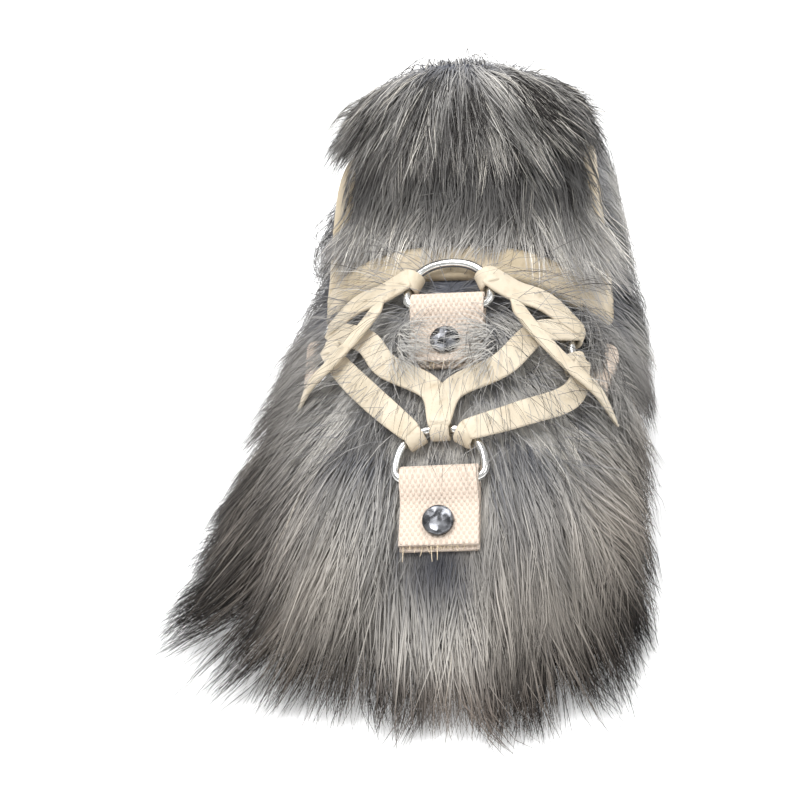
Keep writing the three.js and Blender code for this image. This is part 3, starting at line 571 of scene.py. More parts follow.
def felt_finish(name, grain, detail, depth, dark, light, edges=None):
    """Matted fibres: one grain of noise for the colour and the relief."""
    finish = Finish(name, Roughness=0.95)
    tone = finish.noise(grain, detail)
    finish.tint(tone.between(*edges) if edges else tone, dark, light)
    return finish.relief(tone, depth).material


def leather_finish(name, light, mottled, creased):
    """Cream leather: pale with faint mottling, fine grain, and darker creases."""
    finish = Finish(name)
    mottle = finish.noise(90, 3.0).between(0.35, 0.7)
    grain = finish.noise(1500, 3.0)
    crease = finish.noise(240, 2.0).between(0.55, 0.8)
    base = finish.blend(mottle, linear(light), linear(mottled))
    finish.use(Base_Color=finish.blend(crease * 0.35, base, linear(creased)))
    finish.use(Roughness=0.5 + 0.18 * mottle)
    return finish.relief(grain * 0.5 - crease * 0.8, 0.00025).material


def webbing_finish():
    """Coarse webbing: rows of short raised threads, each row half a thread on from the last, with dimples
    between."""
    finish = Finish("beige_webbing", Roughness=0.85)
    along, across, _ = finish.parts(finish.node("ShaderNodeUVMap").outputs[0])
    row = (along * (2 * math.pi / 2.6)).sine()
    thread = (across * (2 * math.pi / 1.7)).sine()
    weave = (row * thread * 0.5 + 0.5).between(0.0, 0.75)
    fuzz = finish.noise(900, 4.0)
    base = finish.blend(weave, linear("cfbdac"), linear("dacabb"))
    finish.use(Base_Color=finish.blend(fuzz.between(0.5, 0.8) * 0.35, base, linear("d6c3b1")))
    return finish.relief(weave + fuzz * 0.35, 0.0003).material


def thread_finish():
    """Loose yarn, from straw to pale."""
    finish = Finish("frayed_thread", Roughness=0.8)
    return finish.tint(finish.noise(700, 2.0), "c9b48e", "eadcc6").material


def nickel_finish():
    """Bright metal, duller where it is scuffed."""
    finish = Finish("polished_nickel", Metallic=1.0)
    scuff = finish.noise(300, 4.0).between(0.45, 0.75)
    return finish.tint(scuff, "d9d9d6", "a9a8a6").use(Roughness=0.14 + 0.22 * scuff).material


def hammered_finish():
    """Dark nickel with flat hammered facets."""
    finish = Finish("hammered_nickel", Metallic=1.0)
    cells = finish.field("ShaderNodeTexVoronoi", {"feature": "F1"}, Vector=finish.place(), Scale=300.0)
    wear = finish.noise(260, 3.0).between(0.4, 0.7)
    finish.tint(wear, "46474a", "85868a").use(Roughness=0.22 + 0.2 * wear)
    return finish.relief(cells, 0.0011).material


def rubber_finish():
    """Dark moulded rubber with fine ripples under the tread."""
    finish = Finish("sole_rubber", Roughness=0.8)
    x, y, z = finish.parts(finish.place())
    ripple = (y * 900 + (x * 260).sine() * 1.4).sine()
    under = 1 - z.between(0.001, 0.0045)
    speck = finish.noise(800, 3.0)
    finish.tint(speck, "2b2825", "45403b")
    return finish.relief(ripple.between(-0.2, 0.4) * under + speck * 0.12, 0.0012).material


FUR = fur_finish()
BACKING = felt_finish("fur_backing", 420, 4.0, 0.0006, "3c3d42", "6b6d74")
LEATHER = leather_finish("cream_leather", "d1c5b0", "c6b9a2", "ab9678")
# The binding's leather is the cream leather made darker and browner: painted shade from the hair that hangs
# over the binding.
SHADED_BINDING_LEATHER = leather_finish("shaded_binding_leather", "c4b69e", "b7a88d", "9d8868")
WEBBING = webbing_finish()
THREAD = thread_finish()
NICKEL = nickel_finish()
HAMMERED = hammered_finish()
RUBBER = rubber_finish()
LINING = felt_finish("lining_felt", 600, 5.0, 0.0005, "a39a8c", "c9c0b0", (0.3, 0.7))
FOOTBED = felt_finish("footbed_felt", 600, 5.0, 0.0005, "b9a98c", "d6c8ac", (0.3, 0.7))


# Camera, light and floor

LAMP_AIM = np.array([0, 0, 0.05])
LAMPS = {
    "key": ((-0.35, -0.45, 1.3), 0.6, 14),
    "fill": ((0.8, -0.5, 0.8), 0.8, 3),
    "top": ((0.1, 0.4, 1.3), 0.8, 8),
}
FLOOR_HALF, FLOOR_LINES = 4000, 9


def aimed(thing, place, ahead, top=(0, 0.001, 1)):
    """Puts a camera or a lamp at a place, looking ahead, with its top one way."""
    ahead = unit(np.asarray(ahead, float))
    side = unit(np.cross(ahead, top))
    matrix = np.eye(4)
    matrix[:3] = abreast(side, np.cross(side, ahead), -ahead, place)
    thing.matrix_world = Matrix(matrix.tolist())
    bpy.context.scene.collection.objects.link(thing)


def look():
    """The photo's place above and in front of the shoe, turned to frame one shoe, with a longer lens."""
    data = bpy.data.cameras.new("camera")
    data.sensor_width, data.lens, data.clip_start = 36, 53, 0.01
    camera = bpy.data.objects.new("camera", data)
    pitch = math.radians(30)
    photo_x, photo_y, photo_middle, focal = 216, 406, 400, 800
    ahead = np.array([0, math.cos(pitch), -math.sin(pitch)])
    up = np.array([0, math.sin(pitch), math.cos(pitch)])
    aside = np.array([1, 0, 0]) * (photo_x - photo_middle) / focal
    aim = ahead + aside - up * (photo_y - photo_middle) / focal
    aimed(camera, in_frame([71, -261, 250]), aim, up)
    bpy.context.scene.camera = camera


def studio():
    """A wide pale floor, a white room and three soft lamps."""
    world = bpy.data.worlds.new("white_room")
    world.use_nodes = True
    shade = world.node_tree.nodes["Background"]
    shade.inputs[0].default_value, shade.inputs[1].default_value = (1, 1, 1, 1), 0.7
    bpy.context.scene.world = world
    line = np.linspace(-FLOOR_HALF, FLOOR_HALF, FLOOR_LINES)
    points = np.stack(np.meshgrid(line, line, [0.0], indexing="ij"), axis=-1)
    finish = Finish("pale_floor", Base_Color=linear("fafafa"), Roughness=0.9, Emission_Strength=0.3)
    floor = add_piece("floor", points, grid_faces(FLOOR_LINES, FLOOR_LINES), finish.material)
    for name, (place, size, power) in LAMPS.items():
        data = bpy.data.lights.new(name, "AREA")
        data.shape, data.size, data.energy = "DISK", size, power
        aimed(bpy.data.objects.new(name, data), np.array(place), LAMP_AIM - np.array(place))
    bpy.context.scene.view_settings.view_transform = "Standard"


look()
studio()


# Hardware places


def tab_axes(name):
    """A tab's seat on the skin, its outward way, the way to its ring, and the way along its fold."""
    at, turn, pull, _ = TABS[name]
    turn = math.radians(turn)
    point, normal, along, over = skin_frame(at, turn)
    way = along if pull == "back" else (over if turn < math.pi / 2 else -over)
    way = unit(way - normal * dot(way, normal))
    return point, normal, way, unit(np.cross(way, normal))


LOOP = RING_WIRE + RING_CLEARANCE + WEB_THICK
STACK = 2 * WEB_THICK + FIT_GAP


def bar_centre(name):
    """The middle of a ring's bar, inside its tab's fold."""
    point, normal, _, _ = tab_axes(name)
    return point + normal * (WEB_SEAT + LOOP)


def ring_axes(name):
    """The ring's plane, turned about its bar by its tilt."""
    _, normal, pull, across = tab_axes(name)
    tilt = -math.radians(TABS[name][3])
    turned = pull * math.cos(tilt) + np.cross(across, pull) * math.sin(tilt)
    face = unit(np.cross(across, turned))
    return across, turned, face if face @ normal > 0 else -face


def bow_place(name, angle):
    """A point on the ring's bow, the wire's run there and the ring's outward face."""
    across, pull, face = ring_axes(name)
    turn = math.radians(angle)
    low = RING_HEIGHT * RING_SHOULDER
    reach = RING_HEIGHT - low
    point = bar_centre(name) + across * RING_HALF * math.cos(turn) + pull * (low + reach * math.sin(turn))
    run = unit(pull * reach * math.cos(turn) - across * RING_HALF * math.sin(turn))
    return point, run, face


# The lace's free ends

END_STEPS, STRAND_STEPS, WRAP_STEPS = 60, 48, 28


def facing_along(normals, count):
    """Outward ways blended along a route."""
    last = len(normals) - 1
    return unit(read_along(np.linspace(0, last, count), np.arange(last + 1), normals))


def lace_end(name, route):
    """A flat rounded cord that narrows to a point, along its route over the fur."""
    y, turn, lift = np.array(route, float).T
    turn = np.radians(turn)
    path = spline(above(y, turn, lift), END_STEPS)
    facing = facing_along(skin_frame(y, turn)[1], END_STEPS)
    share = np.linspace(0, 1, END_STEPS)
    to_point = np.maximum(0, (share - 0.7) / 0.3)
    narrow = (1 - 0.78 * to_point**1.5) * lerp(0.3, 1, ease(0, 0.1, share))
    section = scaled(round_section(END_WIDTH, END_THICK, END_CORNER), narrow, narrow**0.5)
    cord = capped(sweep(path, facing, section))
    piece = fit(name + "_cord", cord, LEATHER, "leather", name, welded=True, uv=bar_uv(cord[0]))


for end_name, end_route in LACE_ENDS.items():
    lace_end(end_name, end_route)


# The lace and its wraps round the rings


def lace_strand(start, over, finish):
    """A flat lace strand from the top of one wrap over the skin to the top of another."""
    places = [bow_place(*start), bow_place(*finish)]
    on_top = [point + face * (RING_WIRE + WRAP_GAP + LACE_THICK * 0.75) for point, _, face in places]
    y, turn = np.array(over, float).T
    turn = np.radians(turn)
    path = spline([on_top[0], *above(y, turn, LACE_LIFT), on_top[1]], STRAND_STEPS)
    facing = facing_along([places[0][2], *skin_frame(y, turn)[1], places[1][2]], STRAND_STEPS)
    share = np.linspace(0, 1, STRAND_STEPS)
    broad = lerp(0.9, 1.2, np.sin(share * math.pi) ** 0.5)
    section = scaled(round_section(LACE_WIDTH, LACE_THICK, LACE_CORNER), broad, 1.0)
    return capped(sweep(path, facing, section))


def lace_wrap(place):
    """A band of lace round a ring's wire: a rounded bar's section turned about the wire."""
    point, run, face = place
    side = np.cross(run, face)
    angle = circle(WRAP_STEPS)[:, None, None]
    section = round_section(WRAP_WIDTH, LACE_THICK, LACE_CORNER)
    radius = RING_WIRE + WRAP_GAP + LACE_THICK / 2 + section[None, :, 1:]
    out = np.cos(angle) * side + np.sin(angle) * face
    return tube(point + out * radius + run * section[None, :, :1], close_rows=True)


wraps = sorted({wrap for start, _, finish in STRANDS for wrap in (start, finish)})
lace_parts = [lace_strand(*strand) for strand in STRANDS] + [lace_wrap(bow_place(*wrap)) for wrap in wraps]
fit("lace_crossings", joined(lace_parts), LEATHER, "leather", "lace", welded=True)


# Tabs, rings and rivets

WEB_CORNER, WEB_PRESSED = 0.6, 0.94
THREADS, THREAD_RINGS, THREAD_SIDES, THREAD_RADIUS = 30, 6, 4, 0.22
RING_STEPS, WIRE_SIDES, RIVET_SIDES = 120, 16, 40


def tab_line(count):
    """A tab's middle line from the side: along the skin, round the ring's bar and back to its cut end."""
    half = WEB_THICK / 2
    angle = np.linspace(-math.pi / 2, math.pi / 2, 24)
    bend = abreast(np.cos(angle) * (LOOP - half), LOOP + np.sin(angle) * (LOOP - half))
    under = [[-WEB_LENGTH, half], [-WEB_LENGTH * 0.5, half]]
    over = [[-LOOP * 0.8, STACK + 1.6], [-LOOP * 1.9, STACK - half], [-WEB_LENGTH * 0.7, STACK - half]]
    over.append([-WEB_LENGTH + 0.8, STACK - half])
    return spline(np.concatenate([under, bend, over]), count)


def webbing_tab(name):
    """A folded strip: a flat bar's section, with more points across, carried along the tab's line."""
    point, normal, pull, across = tab_axes(name)
    seat = point + normal * WEB_SEAT
    line = tab_line(64)
    path = seat + line[:, :1] * pull + line[:, 1:] * normal
    run = np.gradient(line, axis=0)
    facing = unit(run[:, 1:] * pull - run[:, :1] * normal)
    section = round_section(WEB_WIDTH, WEB_THICK * WEB_PRESSED, WEB_CORNER, 5)
    edge = np.linspace(-1, 1, 10)[1:-1, None] * np.array([[WEB_WIDTH / 2 - WEB_CORNER, 0]])
    lift = np.array([[0, WEB_THICK * WEB_PRESSED / 2]])
    section = np.concatenate([section[:5], (edge + lift)[::-1], section[5:15], edge - lift, section[15:]])
    strip = capped(sweep(path, facing, section))
    fit(name + "_webbing", strip, WEBBING, "webbing", name + "_tab", welded=True, uv=bar_uv(strip[0]))
    frayed_end(name, seat, normal, pull, across)


def frayed_end(name, seat, normal, pull, across):
    """Loose threads at the cut end: short thin tapering tubes along bent lines."""
    each = (THREADS, 1)
    place = rng.uniform(-0.5, 0.5, each) * (WEB_WIDTH - 1)
    high = rng.uniform(0.3, WEB_THICK - 0.3, each) + WEB_THICK + FIT_GAP
    root = seat + across * place - pull * (WEB_LENGTH - 1.6) + normal * high
    reach = rng.uniform(1.2, 2.4, each) * np.where(rng.random(each) < 0.12, 2.6, 1)
    sway = rng.normal(0, 0.7, (THREADS, 3))
    share = np.linspace(0, 1, THREAD_RINGS)[None, :, None]
    line = root[:, None] + share * (-pull * reach - normal * reach * 0.25)[:, None] + share**2 * sway[:, None]
    angle = circle(THREAD_SIDES)[:, None]
    ring = np.cos(angle) * across + np.sin(angle) * normal
    points = line[:, :, None] + ring * THREAD_RADIUS * (1 - 0.6 * share[..., None])
    faces = grid_faces(THREAD_RINGS, THREAD_SIDES, close_columns=True)
    faces = repeated(faces, THREADS, THREAD_RINGS * THREAD_SIDES)
    fit(name + "_threads", (points, faces), THREAD, "webbing")


def ring(name):
    """A round wire along the ring's outline: a straight bar, two tight corners and a bow."""
    across, pull, face = ring_axes(name)
    half, height = RING_HALF, RING_HEIGHT
    right = [
        [half * 0.45, 0],
        [half * 0.86, 0],
        [half * 0.985, height * 0.1],
        [half, height * RING_SHOULDER],
        [half * 0.866, height * 0.66],
        [half * 0.5, height * 0.915],
    ]
    left = [[-x, y] for x, y in right][::-1]
    outline = np.array([[0, 0], *right, [0, height], *left, [0, 0]], float)
    wrapped = np.concatenate([outline[-3:-1], outline, outline[1:3]])
    line = spline(wrapped, 1200)
    start = int(np.argmin(span(line[:400] - outline[0])))
    stop = 800 + int(np.argmin(span(line[800:] - outline[0])))
    line = spaced(line[start:stop], RING_STEPS + 1)[:-1]
    path = bar_centre(name) + line[:, :1] * across + line[:, 1:] * pull
    angle = circle(WIRE_SIDES)
    section = abreast(np.cos(angle), np.sin(angle)) * RING_WIRE
    wire = tube(sweep(path, np.broadcast_to(face, path.shape), section, closed=True), close_rows=True)
    fit(name + "_wire", wire, NICKEL, "nickel", name + "_ring")


def rivet(name):
    """A low dome with a rolled edge: a profile turned about the rivet's own axis."""
    point, normal, pull, across = tab_axes(name)
    base = point + normal * (WEB_SEAT + STACK) - pull * (WEB_LENGTH - RIVET_FROM_END)
    share = np.linspace(0, 1, 18)
    dome_r = RIVET_HEAD * np.sin(share * math.pi / 2) ** 0.8
    dome_h = 0.3 + RIVET_DOME * (0.42 + 0.58 * np.cos(share * math.pi / 2) ** 0.7)
    radius = np.concatenate([dome_r, [RIVET_HEAD, RIVET_HEAD * 0.97, RIVET_SHANK, RIVET_SHANK]])
    height = np.concatenate([dome_h, [0.55, 0.25, 0.2, -STACK + 0.2]])
    angle = circle(RIVET_SIDES)[None, :, None]
    out = np.cos(angle) * pull + np.sin(angle) * across
    points, faces = tube(base + out * radius[:, None, None] + normal * height[:, None, None])
    fit(name + "_dome", (points, faces[:, ::-1]), HAMMERED, "dark_nickel", name + "_rivet", welded=True)


for tab_name in TABS:
    webbing_tab(tab_name)
    ring(tab_name)
    rivet(tab_name)


# Sole and insole


def stations(low, high, count, times=1):
    """Places from one end to the other, closer together at the ends, more so each time."""
    share = np.linspace(0, 1, count)
    for _ in range(times):
        share = (1 - np.cos(share * math.pi)) / 2
    return lerp(low, high, share)


def sole_slab(side, inset, lower, top, toe_inset=0.0):
    """A slab with the sole's outline: at each station a loop up the outer side and down the inner side."""
    share = stations(0, 1, 110)[:, None]
    inward = inset + side["inset"][None, :]
    y = lerp(inward + toe_inset, SOLE_LENGTH - inward, share)
    ends = end_round(y - inward - toe_inset, TOE_ROUND - inward)
    ends = ends * end_round(SOLE_LENGTH - inward - y, HEEL_ROUND - inward)
    z = lerp(lower(y), top(y), side["up"][None, :])
    outer = abreast(middle(y) - (sole["outer"](y) - inward) * ends, y, z)
    inner = abreast(middle(y) + (sole["inner"](y) - inward) * ends, y, z)
    across = np.linspace(0, 1, 10)[None, 1:-1, None]
    over = lerp(outer[:, -1:], inner[:, -1:], across)
    under = lerp(inner[:, :1], outer[:, :1], across)
    return tube(np.concatenate([outer, over, inner[:, ::-1], under], axis=1))


def outsole():
    """The rubber sole, a slab between its two curves."""
    slab = sole_slab(SOLE_SIDE, 0, sole["under"], sole["top"])
    fit("rubber_sole", slab, RUBBER, "rubber", "outsole", welded=True)


def insole():
    """The foot bed, a thinner slab inside the sole's outline and on its top."""

    def thick(y):
        return feather_height(y) + INSOLE_THICK

    slab = sole_slab(INSOLE_SIDE, INSOLE_INSET, feather_height, thick, INSOLE_TOE_INSET)
    piece = fit("foot_bed", slab, FOOTBED, "footbed", "insole", welded=True)


outsole()
insole()


# The collar's edge, the wall and the binding

ABOVE_ALL = 400.0
FOLD_OUTSIDE, FOLD_INSIDE, THROAT_END = 12, 8, 118
collar_line = spline(abreast(COLLAR["at"], COLLAR["height"]), 600)


def edge_over(y, before=None):
    """The edge's height straight over a place, read from its line."""
    return np.interp(y, *collar_line.T, left=before)


def collar_height(y):
    """The edge's height over a place along the skin, where the heel's lean is allowed for."""
    height = edge_over(y)
    for _ in range(4):
        leaning = y + heel["back"](height) * ease(LEAN_START, SOLE_LENGTH, y)
        height = edge_over(leaning)
    return np.where(y < COLLAR["at"][0], ABOVE_ALL, height)


def throat():
    """Where the collar's edge meets the ridge."""
    y = np.linspace(94, 110, 4000)
    return y[np.argmax(feather_height(y) + section_rise(y) > collar_height(y))]


THROAT = throat()


def half_wall(grow, outer):
    """One side of the wall: from the feather line up to the ridge, or to the collar's edge."""
    evenly = stations(INSET + 0.02, SOLE_LENGTH - INSET - 0.02, 90)
    y = np.sort(np.concatenate([evenly, THROAT + stations(0, 6, 16)]))
    top = turn_at(y, collar_height(y) - feather_height(y))
    turn = top[:, None] * np.linspace(0, 1, 18)[None, :] ** 0.9
    return skin(y[:, None], math.pi - turn if outer else turn, grow)


def wall():
    """The hollow wall under the fur: its outer and inner faces, joined along the collar and feather line."""
    parts = []
    for outer in (False, True):
        outside, inside = half_wall(0, outer), half_wall(-WALL, outer)
        loop, faces = tube(np.concatenate([outside, inside[:, ::-1]], axis=1))
        parts.append((loop, faces if outer else faces[:, ::-1]))
    points, faces = joined(parts)
    lining = back_half(faces, parts[0][0].shape[1])
    fit("upper_wall", (points, faces), BACKING, "fur", "upper", welded=True, lining=lining)


def collar_loop(count):
    """The edge all round: places on the skin from the throat along the inner side to the heel and back."""
    y = stations(THROAT, SOLE_LENGTH - INSET - 0.01, 900)
    turn = turn_at(y, collar_height(y) - feather_height(y))
    turn[0] = math.pi / 2
    length = lengths_along(skin(y, turn))
    at = np.linspace(0, length[-1], count)
    y, turn = np.interp(at, length, y), np.interp(at, length, turn)
    return np.concatenate([y, y[-2:0:-1]]), np.concatenate([turn, math.pi - turn[-2:0:-1]])


def binding():
    """Leather folded over the edge: outside down to its hem, over the top, and down inside, with small
    ripples."""
    y, turn = collar_loop(120)
    edge, normal, _, _ = skin_frame(y, turn)
    run = unit(np.roll(edge, -1, axis=0) - np.roll(edge, 1, axis=0))
    down = unit(np.cross(run, normal))
    into = abreast(0, np.where(y < THROAT_END, -0.8, 0), -1)
    down = np.where(dot(down, into) < 0, -down, down)
    outside = np.linspace(BINDING_WIDTH, 0.6, FOLD_OUTSIDE)
    inside = np.linspace(0.6, BINDING_INSIDE, FOLD_INSIDE)
    deep = np.concatenate([outside, [-0.4, -1.1, -1.1, -0.4], inside])
    outside = np.full(FOLD_OUTSIDE, FIT_GAP + BINDING_THICK * 0.8)
    outside[:2] = 0.2, FIT_GAP + BINDING_THICK
    lift = np.concatenate([outside, [1.1, 0.2, -1.6, -3], np.full(FOLD_INSIDE, -WALL - 0.9)])
    length = np.cumsum(span(np.roll(edge, -1, axis=0) - edge))
    ripple = np.sin(length * 0.55 + 2 * np.sin(length * 0.11)) * np.sin(length * 0.23 + 1)
    half = [walk(y, turn, down, d / 2) for d in deep]
    place = [walk(*h, down, d / 2) for h, d in zip(half, deep)]
    points = []
    for (py, pt), d, rise in zip(place, deep, lift):
        surface, out, _, _ = skin_frame(py, pt)
        straight = edge + down * d
        near = ease(6, 14, np.minimum(span(surface - straight), 20))[:, None]
        base = lerp(surface, straight, near)
        out = unit(lerp(out, normal, near))
        swell = ripple[:, None] * 0.35 * (1 if 1 < d < 10 else 0)
        points.append(base + out * (rise + swell))
    points = np.stack(points, axis=1)
    grid = points, grid_faces(*points.shape[:2], close_rows=True)
    # The binding takes the darker leather: painted shade from the hair over it.
    piece = fit("bound_edge", grid, SHADED_BINDING_LEATHER, "leather", "collar_binding")
    thick = piece.modifiers.new("thickness", "SOLIDIFY")
    thick.thickness, thick.offset = 0.0011, -1


wall()
binding()


# The tongue


def tongue_place(share, across, depth=0.0):
    """A place on the tongue: its front's middle line, falling and lying back to both edges, and depth behind
    it."""
    inside = np.clip(share, 0.01, 0.99)
    lean_y = tongue["at"](inside + 0.01) - tongue["at"](inside - 0.01)
    lean_z = tongue["height"](inside + 0.01) - tongue["height"](inside - 0.01)
    length = np.hypot(lean_y, lean_z)
    x = tongue["half"](share) * across
    y = tongue["at"](share) + tongue["back"](share) * across**2 + lean_z / length * depth
    drop = tongue["drop"](share) + 7 * ease(0.75, 1, share)
    z = tongue["height"](share) - drop * across**2 - lean_y / length * depth
    return abreast(x, y, z)


def tongue_body():
    """A padded slab: its front and back faces over the tongue's own outline, round at the edges."""
    share = np.linspace(0, 1, 40)[:, None]
    across = np.sin(np.linspace(-math.pi / 2, math.pi / 2, 27))[None, :]
    thick = tongue["thick"](share) * (1 - 0.45 * across**2)
    front = tongue_place(share, across, 0.4)
    back = tongue_place(share, across, thick)
    points, faces = capped(np.concatenate([front, back[:, ::-1]], axis=1))
    lining = back_half(faces, points.shape[1])
    piece = fit("tongue_pad", (points, faces), BACKING, "fur", "tongue", welded=True, lining=lining)


tongue_body()


# Hairs

RINGS = 5
ALONG = np.linspace(0, 1, RINGS)[None, :, None]
SLATE, GREY, PALE, CREAM, BROWN, DARK = (
    np.array(linear(code)[:3]) for code in ("4d515d", "8c8b8a", "c9c6c0", "ddd7cb", "564d46", "191513")
)


def reached(root, way, far, out, high):
    """Places far along a way from each root, and high outwards."""
    return root + way * far[:, None] + out * high[:, None]


def bezier(root, bend, tip):
    """Places along each hair: a curve from its root, drawn to its bend, to its tip."""
    back = 1 - ALONG
    return back**2 * root[:, None] + 2 * ALONG * back * bend[:, None] + ALONG**2 * tip[:, None]


def hair_map(count):
    """A map of every hair: a square cell for each, with its ribbon up the cell's middle."""
    side = math.ceil(math.sqrt(count))
    row, column = np.divmod(np.arange(count)[:, None, None], side)
    u = (column + np.array([0.15, 0.85])) / side
    v = (row + np.linspace(0.1, 0.9, RINGS)[None, :, None]) / side
    return abreast(u, v)


def hair_piece(name, line, out, width, colour, *nodes):
    """Flat hairs along lines: a ribbon that narrows to its tip, rolled a little about its own run and shaded
    softly."""
    count = len(line)
    run = unit(np.gradient(line, axis=1))
    side = unit(np.cross(run, out[:, None]))
    up = np.cross(side, run)
    roll = rng.normal(0, 0.4, (count, 1, 1))
    side = side * np.cos(roll) + up * np.sin(roll)
    half = width[:, None, None] / 2 * (1 - 0.86 * ALONG**2.4)
    points = np.stack([line - side * half, line + side * half], axis=2)
    ribbons = points, repeated(grid_faces(RINGS, 2), count, RINGS * 2)
    rgba = np.concatenate([colour, np.ones(colour.shape[:2] + (1,))], axis=2)
    rgba = np.repeat(rgba[:, :, None, :], 2, axis=2).reshape(-1, 4)
    piece = fit(name, ribbons, FUR, "fur", *nodes, uv=hair_map(count), colour=rgba)
    soft = unit(up * np.cos(roll) - np.cross(run, up) * np.sin(roll) * 0.4 + out[:, None] * 0.8)
    piece.data.normals_split_custom_set_from_vertices(np.repeat(soft[:, :, None], 2, axis=2).reshape(-1, 3))


def wander(points, scale, salt):
    """A slow change from place to place, from -1 to 1: crossed waves over the shoe."""
    x, y, z = (points / scale).T
    a = np.sin(x * 1.7 + y * 0.9 + salt)
    b = np.sin(y * 1.3 - z * 1.9 + salt * 2.3 + 1)
    c = np.sin(z * 1.1 + x * 0.6 - y * 0.7 + salt * 0.7)
    return (a + b + c) / 2.2


def mound(*offsets):
    """1 where every offset is nothing, falling in a bell to 0."""
    return np.exp(-sum(offset**2 for offset in offsets))


def hair_colour(count, dark_share, pale_share, brown, tone, fade, lot):
    """Slate at the root, grey or pale along the length, browner at the sides, darker to the tip, black on
    some. Hairs of one lock draw much the same lot."""
    own = np.clip(tone + rng.normal(0, 0.13, count), -1, 1)[:, None, None]
    body = lerp(GREY * lerp(0.8, 1.0, np.clip(1 + own * 2, 0, 1)), PALE, np.clip(0.4 + own * 0.7, 0, 1))
    body = lerp(body, BROWN, (brown * rng.uniform(0.5, 1, count))[:, None, None] * (0.3 + 0.7 * ALONG))
    pale = (lerp(1 - lot, rng.random(count), 0.35) < pale_share)[:, None, None]
    body = np.where(pale, lerp(body, lerp(PALE, CREAM, rng.random((count, 1, 1))), 0.75), body)
    shade = rng.uniform(0.88, 1.05, (count, 1, 1))
    tipped = (lerp(lot, rng.random(count), 0.4) < dark_share)[:, None, None]
    start = rng.uniform(0.3, 0.75, (count, 1, 1)) * np.where(lot < 0.2, 0.55, 1)[:, None, None]
    black = np.clip((ALONG - start) / 0.25, 0, 1) * tipped
    root = np.clip(1 - ALONG / rng.uniform(0.3, 0.6, (count, 1, 1)), 0, 1)
    colour = lerp(body * shade, SLATE * shade, root)
    fade = np.where(pale, 0.85, np.broadcast_to(fade, count)[:, None, None])
    colour = colour * lerp(1.0, fade, np.clip((ALONG - 0.6) / 0.4, 0, 1))
    return lerp(colour, DARK, black)


# The upper's coat

FIRST_ROOT, LAST_ROOT = INSET + 0.004, SOLE_LENGTH - INSET - 0.004
VAMP_BACK, LACING_MIDDLE, OFF_SHOE = 104, 84, -100.0
TUFT_SPREAD, TUFTS_A_LOCK, COAT_LENGTH, FLOOR_GAP = 2.8, 9, 38, 0.8
EAR_FLARE, FAR_EAR_FLARE = 5, 10
INNER_LIMIT, OUTER_LIMIT, TOE_LIMIT, INNER_GIVE_BACK, SIDE_GIVE, TOE_GIVE = 58, 84, 22, 20, 9, 15
TOE_BACK, VAMP_END, HEEL_START = 30, 62, 190
# The coat by zone: toe and vamp, outer side, inner side, under the lace, quarters, far quarter, by the ear
COAT = table(
    "longer lift flare",
    (5, 0, 0),
    (16, 2, 22),
    (7, 0, 7),
    (-12, 0, 0),
    (0, 3, 0),
    (0, 2, 3),
    (0, 2, 0),
)
# The slate patch's depth, the warm tint low at the front, and the hem's tint, whose darkness is partly the
# fur's dark tips and partly painted shade.
SLATE_DEPTH, WARM, HEM_DARK_AND_SHADE = np.array([[0.28, 0.29, 0.34], [0.94, 0.89, 0.84], [0.34, 0.30, 0.28]])


def roof(x, y):
    """The skin's height straight under a place on the vamp, and far below it off the shoe."""
    side = np.where(x >= middle(y), upper["inner"](y), upper["outer"](y))
    ends = end_round(y - INSET, TOE_ROUND)
    share = np.abs(x - middle(y)) / np.maximum(side * ends, 1e-3)
    arch = np.maximum(0, 1 - np.clip(share, 0, 1) ** SQUARENESS) ** (1 / SQUARENESS)
    height = feather_height(y) + section_rise(y) * arch
    return np.where((share < 1) & (y > INSET) & (y < VAMP_BACK), height, OFF_SHOE)


def flow(point, normal):
    """The way the fur lies: out and down from the lacing on the vamp, down and back on the quarters."""
    x, y = point[:, 0] - middle(point[:, 1]), point[:, 1]
    sideways = x * lerp(0.85, 1.4, ease(22, 46, np.abs(x)))
    forwards = (y - LACING_MIDDLE) * lerp(1.0, 0.5, ease(16, 44, -x) * (y < LACING_MIDDLE))
    radial = unit(abreast(sideways, forwards, 0))
    radial[:, 2] = -0.8
    down = abreast(np.sign(x) * 0.2, 0.35, -1.0)
    way = lerp(radial, down, ease(LACING_MIDDLE, 130, y)[:, None])
    return unit(way - normal * dot(way, normal))


def turned_about(way, axis, angle):
    """Ways turned about axes."""
    angle = angle[:, None]
    return way * np.cos(angle) + np.cross(axis, way) * np.sin(angle)


def under_lace(y, turn, x):
    """Where tabs, rings and lace press the fur flat, from 0 to 1."""
    degrees = np.degrees(turn)
    lacing = band(y, (40, 50), (92, 102)) * ease(38, 52, degrees) * fades(128, 142, degrees)
    centre = band(y, (8, 16), (60, 70)) * fades(14, 19, np.abs(x - middle(y)))
    low = np.minimum(degrees, 180 - degrees)
    sides = band(y, (62, 70), (94, 102)) * ease(20, 32, low) * fades(46, 56, low) * (degrees > 90)
    return np.maximum(np.maximum(lacing, centre), sides * 0.8)


